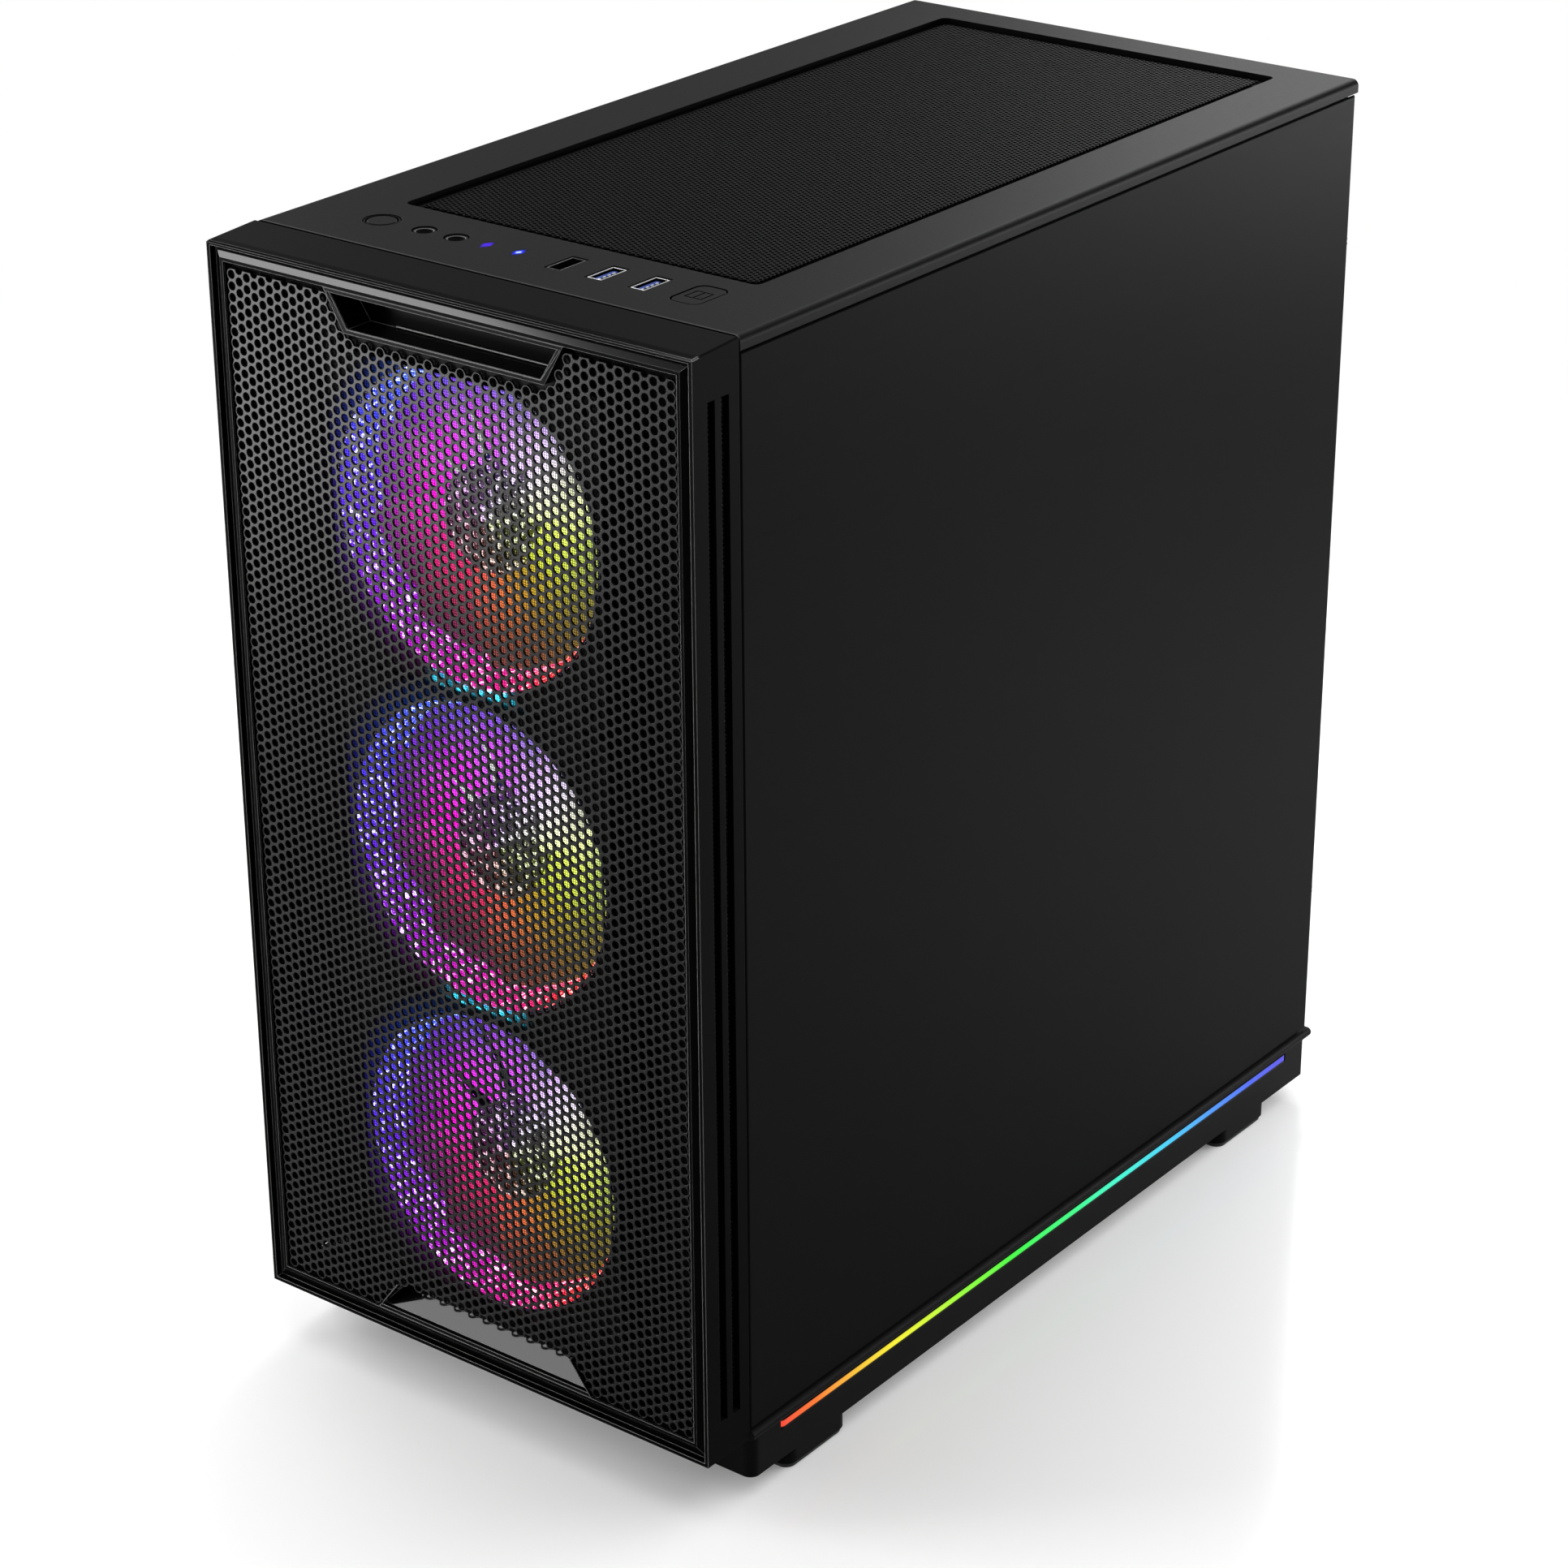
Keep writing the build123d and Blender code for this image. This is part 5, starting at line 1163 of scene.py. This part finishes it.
rings = Shape()
for z in FRONT_FANS.values():
    rings.turned([(RING_OUT, RING_FRONT), (RING_MOUTH, RING_FRONT), (RING_IN, RING_FRONT + MOUTH_DEPTH),
                  (RING_IN, RING_BACK), (RING_OUT, RING_BACK)], (0, 0, z), "y", 96, ends=(False, False))
lit_rings = rings.made("front_fan_rings", "lit_plastic")
lit_rings.data.materials[0] = lit_ring(lit_rings)
blade_light = lit_blades(lit_rings)
for fan, z in FRONT_FANS.items():
    upright_fan(fan, 0, z, FRONT_FAN_DEPTH, FRONT_TIP, blade_light)
for fan, x, z, front in CASE_FANS:
    upright_fan(fan, x, z, front, CASE_TIP)

for name, node in FLAT_FANS:
    low, high = (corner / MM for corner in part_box(node))
    middle = ((low.x + high.x) / 2, (low.y + high.y) / 2 - FRONT / MM, 0)
    tip = (high.x - low.x) / 2 - TIP_GAP
    blades = (low.z + FLAT_GAP, high.z - FLAT_GAP)
    wheel = fan_wheel(middle, "z", FLAT_HUB * tip, tip, blades, (low.z, high.z), *FLAT_FORM)
    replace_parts(wheel.made(f"{name}_wheel", "fan_plastic", name), node)
print("fans:", len(FRONT_FANS) + len(CASE_FANS) + len(FLAT_FANS))

# %% [markdown]
# ## The top filter
# The sunk field of the top is closed by a thin steel sheet with small holes, two millimetres apart.
# It is the same kind of sheet as the front, so the same cells make it, with six sides to each hole.

# %% Top filter
TOP_PITCH = 2.1
TOP_HOLE = 0.73
TOP_SIDES = 6
TOP_BORDER = 4.0
TOP_THICK = 0.8
TOP_BEVEL = 0.06
TOP_EDGE = 1.15
TOP_PIECES = 5
TOP_COLUMN = TOP_PITCH * sqrt(3) / 2

filter_low, filter_high = (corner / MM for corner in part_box("top_filter"))
near, far = filter_low.y - FRONT / MM, filter_high.y - FRONT / MM
columns = int((filter_high.x - filter_low.x - 2 * TOP_BORDER) / TOP_COLUMN)
rows = int((far - near - 2 * TOP_BORDER) / TOP_PITCH)
left = (filter_low.x + filter_high.x - (columns - 1) * TOP_COLUMN) / 2
first = (near + far - (rows - 0.5) * TOP_PITCH) / 2
dull_steel = painted_metal("dull_steel", 6, 0.5, 0.025)
small_holes = [(left + column * TOP_COLUMN, first + (row + column % 2 / 2) * TOP_PITCH)
               for row in range(rows) for column in range(columns)]
top_sheets = punched_sheet(small_holes, TOP_PITCH, TOP_HOLE, TOP_SIDES, 0.0, TOP_THICK, TOP_BEVEL, TOP_EDGE,
                           TOP_PIECES)
for index, (points, faces) in enumerate(top_sheets):
    flat = [(u, v, filter_high.z - depth) for u, v, depth in points]
    sheet = add_piece(f"top_filter_{index}", flat, [face[::-1] for face in faces], "filter_net",
                      "top_dust_filter", dull_steel, rounded=False)
    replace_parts(sheet, "top_filter")
print("holes in the top:", len(small_holes))

# %% [markdown]
# ## Sockets of the top
# The blue sockets have a thin bright edge of drawn steel and show a tongue with four contacts close
# behind the mouth. The plain socket and the jack rings have a light grey bead instead, a painted
# highlight along their dark edges. A bead follows each edge; the tongues and contacts are small plates.
# The two audio jacks are turned collars on a block.

# %% Sockets of the top
USB_EDGE = (2.75, 6.45)
USB_EDGE_TOP = 435.72
BLUE_USB_X = (30.3, 48.5)
PLAIN_USB_X = 12.8
BRIGHT_BEAD = 0.24
DARK_BEAD = 0.2
JACK_BEAD = 0.22
BEAD_SIDES = 6
TONGUE = ((-1.95, 43.4, 431.4), (-0.05, 54.6, 435.0))
CONTACT = ((-0.5, 433.0), (0.05, 435.1))
CONTACT_FIRST = 44.6
CONTACT_STEP = 2.5
CONTACT_WIDE = 1.2
JACK_X = (-50.1, -35.7)
JACK_RING = 3.3
JACK_RING_TOP = 435.45
JACK_BLOCK = (5.5, 7.0)
JACK_BLOCK_TOP = 422.0
JACK_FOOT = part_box("audio_jacks")[0].z / MM
JACK_PROFILE = [(5.4, JACK_BLOCK_TOP), (5.4, 426.0), (4.1, 426.0), (4.1, 435.4), (3.8, 435.8), (3.5, 435.8),
                (3.1, 435.2), (2.3, 434.2), (1.8, 433.8), (1.8, 422.1)]


def socket_edge(x, half_x, half_depth, z):
    near, far = SOCKET_ROW - half_depth, SOCKET_ROW + half_depth
    return [(x - half_x, near, z), (x + half_x, near, z), (x + half_x, far, z), (x - half_x, far, z)]


def ring(x, radius, z, steps=32):
    turns = [tau * step / steps for step in range(steps)]
    return [(x + radius * cos(turn), SOCKET_ROW + radius * sin(turn), z) for turn in turns]


edges = Shape()
tongues = Shape()
contacts = Shape()
for x in BLUE_USB_X:
    edges.bead(socket_edge(x, *USB_EDGE, USB_EDGE_TOP), BRIGHT_BEAD, BEAD_SIDES, closed=True)
    tongues.box(*((x + across, depth, z) for across, depth, z in TONGUE))
    for step in range(4):
        near = CONTACT_FIRST + CONTACT_STEP * step
        (left, low), (right, high) = CONTACT
        contacts.box((x + left, near, low), (x + right, near + CONTACT_WIDE, high))
edges.made("usb_edges", "bright_metal")
tongues.made("usb_tongue_ends", "blue_plastic", rounded=False)
plating = matt_plastic("contact_plating", grey(225), 0.3)
contacts.made("usb_contacts", "bright_metal", material=plating, rounded=False)

dark_edges = Shape()
dark_edges.bead(socket_edge(PLAIN_USB_X, *USB_EDGE, USB_EDGE_TOP), DARK_BEAD, BEAD_SIDES, closed=True)
jacks = Shape()
for x in JACK_X:
    dark_edges.bead(ring(x, JACK_RING, JACK_RING_TOP), JACK_BEAD, BEAD_SIDES, closed=True)
    wide, deep = JACK_BLOCK
    jacks.box((x - wide, SOCKET_ROW - deep, JACK_FOOT), (x + wide, SOCKET_ROW + deep, JACK_BLOCK_TOP))
    jacks.turned(JACK_PROFILE, (x, SOCKET_ROW, 0), "z", 32)
# painted highlight: the light grey of these beads stands for the shine along the dark edges
dark_edges.made("dark_socket_edges", "screw_metal", material=matt_plastic("edge_shine", grey(90), 0.35))
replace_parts(jacks.made("audio_jack_collars", "socket_plastic", material=DARK_PLASTIC), "audio_jacks")
print("socket edges: 5")

# %% [markdown]
# ## Caps of the two buttons
# The power button has a round groove and the lighting button a pressed mark: a square outline with a
# bar. On a black cap such lines show only because they are deep, so they are cut and not painted.

# %% Caps of the two buttons
POWER_X = -69.6
LIGHTING_X = 68.8
STEM_HALF = 2.0
STEM_TOP = 432.0
CAP_BOTTOM = 431.5
CAP_SHOULDER = 435.4
CAP_TOP = 435.9
GROOVE_FLOOR = 434.5
POWER_PROFILE = [(6.3, CAP_BOTTOM), (6.4, CAP_SHOULDER), (6.2, CAP_TOP), (6.0, CAP_TOP), (5.9, GROOVE_FLOOR),
                 (5.3, GROOVE_FLOOR), (5.2, CAP_TOP - 0.3), (4.9, CAP_TOP)]
LIGHTING_RIMS = (((6.0, 9.25), 3.6, CAP_BOTTOM), ((6.0, 9.25), 3.6, CAP_SHOULDER),
                 ((5.7, 8.95), 3.3, CAP_TOP))
CORNER_STEPS = 6
MARK_HALF = 3.6
MARK_LINE = 0.6


def rounded_loop(x, half, corner, z):
    """Points round a rectangle with rounded corners."""
    loop = []
    for quarter in range(4):
        across, along = ((1, 1), (-1, 1), (-1, -1), (1, -1))[quarter]
        for step in range(CORNER_STEPS + 1):
            turn = tau / 4 * (quarter + step / CORNER_STEPS)
            loop.append((x + across * (half[0] - corner) + corner * cos(turn),
                         SOCKET_ROW + along * (half[1] - corner) + corner * sin(turn), z))
    return loop


def square_loop(x, half, z):
    """As many points as a rounded loop, spread along the sides of a square."""
    loop = []
    for quarter in range(4):
        for step in range(CORNER_STEPS + 1):
            slide = 0.9 * (2 * step / CORNER_STEPS - 1)
            u, v = half * min(1, 1 - slide), half * min(1, 1 + slide)
            for turn in range(quarter):
                u, v = -v, u
            loop.append((x + u, SOCKET_ROW + v, z))
    return loop


def stem(x, node):
    """The start of a cap: a square stem on the foot of the solid that the cap replaces."""
    cap = Shape()
    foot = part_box(node)[0].z / MM
    cap.box((x - STEM_HALF, SOCKET_ROW - STEM_HALF, foot), (x + STEM_HALF, SOCKET_ROW + STEM_HALF, STEM_TOP))
    return cap


power_cap = stem(POWER_X, "power_button")
power_cap.turned(POWER_PROFILE, (POWER_X, SOCKET_ROW, 0), "z", 64)
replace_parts(power_cap.made("power_cap", "satin_plastic", "power_key"), "power_button")

lighting_cap = stem(LIGHTING_X, "lighting_button")
loops = [rounded_loop(LIGHTING_X, *rim) for rim in LIGHTING_RIMS]
loops += [square_loop(LIGHTING_X, MARK_HALF, z) for z in (CAP_TOP, GROOVE_FLOOR)]
lighting_cap.loft(loops, ends=(False, True))
inside = MARK_HALF - MARK_LINE
for left, right in ((-inside, -MARK_LINE / 2), (MARK_LINE / 2, inside)):
    lighting_cap.box((LIGHTING_X + left, SOCKET_ROW - inside, GROOVE_FLOOR),
                     (LIGHTING_X + right, SOCKET_ROW + inside, CAP_TOP))
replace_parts(lighting_cap.made("lighting_cap", "satin_plastic", "lighting_key"), "lighting_button")
print("button caps: 2")

# %% [markdown]
# ## Small parts of the main board
# A board carries far more than its sockets: round capacitors beside the power stages, square coils,
# flat chips, a coin cell, and the screws that hold it. Each kind is made in a loop over its places.

# %% Small parts of the main board
BOARD_FACE = 74.4
CAN_PROFILE = [(3.0, 0.0), (3.3, -0.6), (3.3, -7.0), (2.8, -7.6)]
CELL_PROFILE = [(9.0, 0.0), (10.0, -0.4), (10.0, -2.8), (9.2, -3.2)]
SCREW_PROFILE = [(3.4, 0.0), (3.4, -0.8), (2.4, -1.8), (0.9, -1.9)]
PART_STEP = 11.0
CAPACITOR_SPOTS = ([(212.0, 300.0 + PART_STEP * step) for step in range(10)]
                   + [(166.0 + PART_STEP * step, 256.0) for step in range(9)]
                   + [(246.0, 188.0), (258.0, 188.0), (370.0, 286.0), (382.0, 286.0)])
COIL_SPOTS = ([(331.0, 302.0 + PART_STEP * step) for step in range(8)]
              + [(264.0 + PART_STEP * step, 394.0) for step in range(6)])
COIL_STEPS = ((4.2, 67.4, BOARD_FACE), (2.2, 67.0, 67.4))
CHIPS = ((176.0, 268.0, 14.0), (232.0, 270.0, 9.0), (352.0, 272.0, 8.0), (372.0, 262.0, 10.0),
         (192.0, 240.0, 8.0))
CHIP_FACE = 72.8
PIN_FACE = 73.9
PIN_STEP = 1.2
PIN_HALF = 0.5
PIN_WIDE = 0.5
CELL_SPOT = (216.0, 262.0)
BOARD_SCREWS = [(154.0 + depth, 179.0 + z) for depth in (17.0, 120.0, 234.0) for z in (12.0, 122.0, 232.0)]

cans = Shape()
for spot in CAPACITOR_SPOTS:
    cans.turned(CAN_PROFILE, (BOARD_FACE, *spot), "x", 16)
cans.made("capacitors", "heatsink_metal")

coils = Shape()
for depth, z in COIL_SPOTS:
    for half, left, right in COIL_STEPS:
        coils.box((left, depth - half, z - half), (right, depth + half, z + half))
coils.made("coils", "dark_metal", rounded=False)

chips = Shape()
for depth, z, size in CHIPS:
    chips.box((CHIP_FACE, depth - size / 2, z - size / 2), (BOARD_FACE, depth + size / 2, z + size / 2))
    for step in range(int(size / PIN_STEP)):
        near = depth - size / 2 + PIN_STEP / 2 + PIN_STEP * step
        for side in (-1, 1):
            edge = z + side * (size / 2 + PIN_HALF)
            chips.box((PIN_FACE, near, edge - PIN_HALF), (BOARD_FACE, near + PIN_WIDE, edge + PIN_HALF))
chips.made("chips", "socket_plastic", rounded=False)

bright = Shape()
bright.turned(CELL_PROFILE, (BOARD_FACE, *CELL_SPOT), "x", 32)
for spot in BOARD_SCREWS:
    bright.turned(SCREW_PROFILE, (BOARD_FACE, *spot), "x", 16)
bright.made("cell_and_screws", "bright_metal")
print("capacitors:", len(CAPACITOR_SPOTS), "coils:", len(COIL_SPOTS), "chips:", len(CHIPS))

# %% [markdown]
# ## Shapes behind the glass
# The sides that face the glass are dressed too: the graphics card has slanted ribs under a bright line,
# the cooler a dark cap with the ends of its heat pipes, and the shroud over the supply a row of ribs.

# %% Shapes behind the glass
CARD_SIDE = -46.0
COOLER_SIDE = -78.0
SHROUD_SIDE = -99.1
RIB_COUNT = 15
RIB_PLACES = (166.0, 14.4)
RIB_CORNERS = ((0.0, 194.0), (6.0, 194.0), (16.0, 221.0), (10.0, 221.0))
RIB_PROUD = 1.2
CAP_PROUD = 1.6
PIPE_DEPTHS = (289.0, 298.0, 308.0, 317.0)
PIPE_HEIGHTS = (322.0, 374.0)
PIPE_PROFILE = [(3.0, 0.0), (3.0, -2.2), (2.0, -3.0)]
CARD_LINE = ((CARD_SIDE - 0.8, 158.0, 224.5), (CARD_SIDE, 388.0, 226.3))
COOLER_CAP = ((COOLER_SIDE - CAP_PROUD, 281.0, 292.0), (COOLER_SIDE + 0.4, 325.0, 404.0))
COOLER_PLATE = ((COOLER_SIDE - CAP_PROUD - 0.8, 286.0, 336.0), (COOLER_SIDE - CAP_PROUD, 320.0, 360.0))
CARD_PLUG = ((CARD_SIDE, 196.0, 230.0), (-28.0, 218.0, 240.0))
PLUG_X = (-43.5, -35.0)
PLUG_FIRST = 198.0
PLUG_STEP = 4.8
PLUG_KEY = (4.0, 3.6)
PLUG_KEY_HEIGHTS = (240.0, 240.6)
SHROUD_RIBS = 18
SHROUD_RIB_PLACES = (226.0, 8.0)
SHROUD_RIB_HEIGHTS = (52.0, 96.0)
SHROUD_RIB_LEAN = 10.0

ribs = Shape()
for step in range(RIB_COUNT):
    near = RIB_PLACES[0] + RIB_PLACES[1] * step
    ribs.loft([[(x, near + depth, z) for depth, z in RIB_CORNERS]
               for x in (CARD_SIDE - RIB_PROUD, CARD_SIDE)])
ribs.made("card_ribs", "dark_metal", rounded=False)

trim = Shape()
trim.box(*CARD_LINE)
for depth in PIPE_DEPTHS:
    for z in PIPE_HEIGHTS:
        trim.turned(PIPE_PROFILE, (COOLER_SIDE - CAP_PROUD, depth, z), "x", 16)
trim.made("bright_trim", "bright_metal")

cap = Shape()
for corners in (COOLER_CAP, COOLER_PLATE, CARD_PLUG):
    cap.box(*corners)
(wide, deep), (low, high) = PLUG_KEY, PLUG_KEY_HEIGHTS
for step in range(4):
    near = PLUG_FIRST + PLUG_STEP * step
    for x in PLUG_X:
        cap.box((x, near, low), (x + wide, near + deep, high))
cap.made("cooler_cap_and_card_plug", "socket_plastic", rounded=False)

shroud_ribs = Shape()
for step in range(SHROUD_RIBS):
    near = SHROUD_RIB_PLACES[0] + SHROUD_RIB_PLACES[1] * step
    low, high = SHROUD_RIB_HEIGHTS
    shroud_ribs.bead([(SHROUD_SIDE, near, low), (SHROUD_SIDE, near + SHROUD_RIB_LEAN, high)], 1.1, 10)
shroud_ribs.made("shroud_ribs", "chassis_steel")
print("ribs on the card:", RIB_COUNT, "on the shroud:", SHROUD_RIBS)

# %% [markdown]
# ## The net of the bottom filter
# The drawer under the supply is a grid that carries a fine net; the net is threads laid both ways.

# %% Net of the bottom filter
TRAY_PITCH = 2.2
TRAY_THREAD = 0.35
TRAY_BORDER = 3.0
TAB_LENGTH = 4.0
TRAY_FLOOR = 0.9

tray_low, tray_high = (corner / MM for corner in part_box("bottom_filter"))
near = tray_low.y - FRONT / MM + TRAY_BORDER
far = tray_high.y - FRONT / MM - TAB_LENGTH - TRAY_BORDER
left, right = tray_low.x + TRAY_BORDER, tray_high.x - TRAY_BORDER
level = tray_low.z + TRAY_FLOOR
across_count, along_count = int((right - left) / TRAY_PITCH), int((far - near) / TRAY_PITCH)
tray_net = Shape()
for step in range(across_count):
    x = left + (step + 0.5) * TRAY_PITCH
    tray_net.box((x, near, level), (x + TRAY_THREAD, far, level + TRAY_THREAD))
for step in range(along_count):
    depth = near + (step + 0.5) * TRAY_PITCH
    tray_net.box((left, depth, level + TRAY_THREAD), (right, depth + TRAY_THREAD, level + 2 * TRAY_THREAD))
tray_net.made("bottom_filter_net", "filter_net", "bottom_dust_filter", rounded=False)
print("threads in the bottom net:", across_count + along_count)

# %% [markdown]
# ## Screws and inserts of the rear
# The rear shows what holds the machine together: a cross-headed screw at each corner of the fan and of
# the power supply, and one on each slot plate. The ports have coloured plastic inside their shells.

# %% Screws and inserts of the rear
REAR_FACE = 401.2
HEAD_PROFILE = [(3.9, 0.0), (3.9, 0.7), (3.0, 1.9), (1.2, 2.3)]
CROSS = ((2.2, 0.35), (0.35, 2.2))
CROSS_DEPTHS = (REAR_FACE + 2.1, REAR_FACE + 2.4)
FAN_CORNERS = [(-30.0 + 52.5 * i, 358.0 + 52.5 * j) for i in (-1, 1) for j in (-1, 1)]
SUPPLY_CORNERS = [(-74.0, 35.5), (-74.0, 109.0), (64.0, 35.5), (64.0, 109.0)]
SLOT_SCREWS = [(84.0, 248.0 - 20.32 * step) for step in range(7)]
REAR_SCREWS = FAN_CORNERS + SUPPLY_CORNERS + SLOT_SCREWS
INSERTS = ((388.0, 30.0, 14.5), (366.0, 16.0, 15.0), (345.0, 16.0, 14.5), (324.0, 30.0, 14.5),
           (302.0, 16.0, 16.0))
INSERT_DEPTHS = (391.0, 400.6)
INSERT_HALF = 0.9
INSERT_SHARES = (0.27, 0.73)
INSERT_GAP = 2.0
PORT_EDGE = 73.4

heads = Shape()
for x, z in REAR_SCREWS:
    heads.turned(HEAD_PROFILE, (x, REAR_FACE, z), "y", 20)
    for wide, tall in CROSS:
        heads.box((x - wide, CROSS_DEPTHS[0], z - tall), (x + wide, CROSS_DEPTHS[1], z + tall))
heads.made("rear_screws", "screw_metal")

blue_inserts = Shape()
dark_inserts = Shape()
near, far = INSERT_DEPTHS
for index, (z, wide, tall) in enumerate(INSERTS):
    shape = blue_inserts if index % 2 else dark_inserts
    rise = tall / 2 - INSERT_GAP
    for share in INSERT_SHARES:
        x = PORT_EDGE - wide * share
        shape.box((x - INSERT_HALF, near, z - rise), (x + INSERT_HALF, far, z + rise))
blue_inserts.made("blue_port_inserts", "blue_plastic", rounded=False)
dark_inserts.made("dark_port_inserts", "socket_plastic", rounded=False)
print("rear screws:", len(REAR_SCREWS))
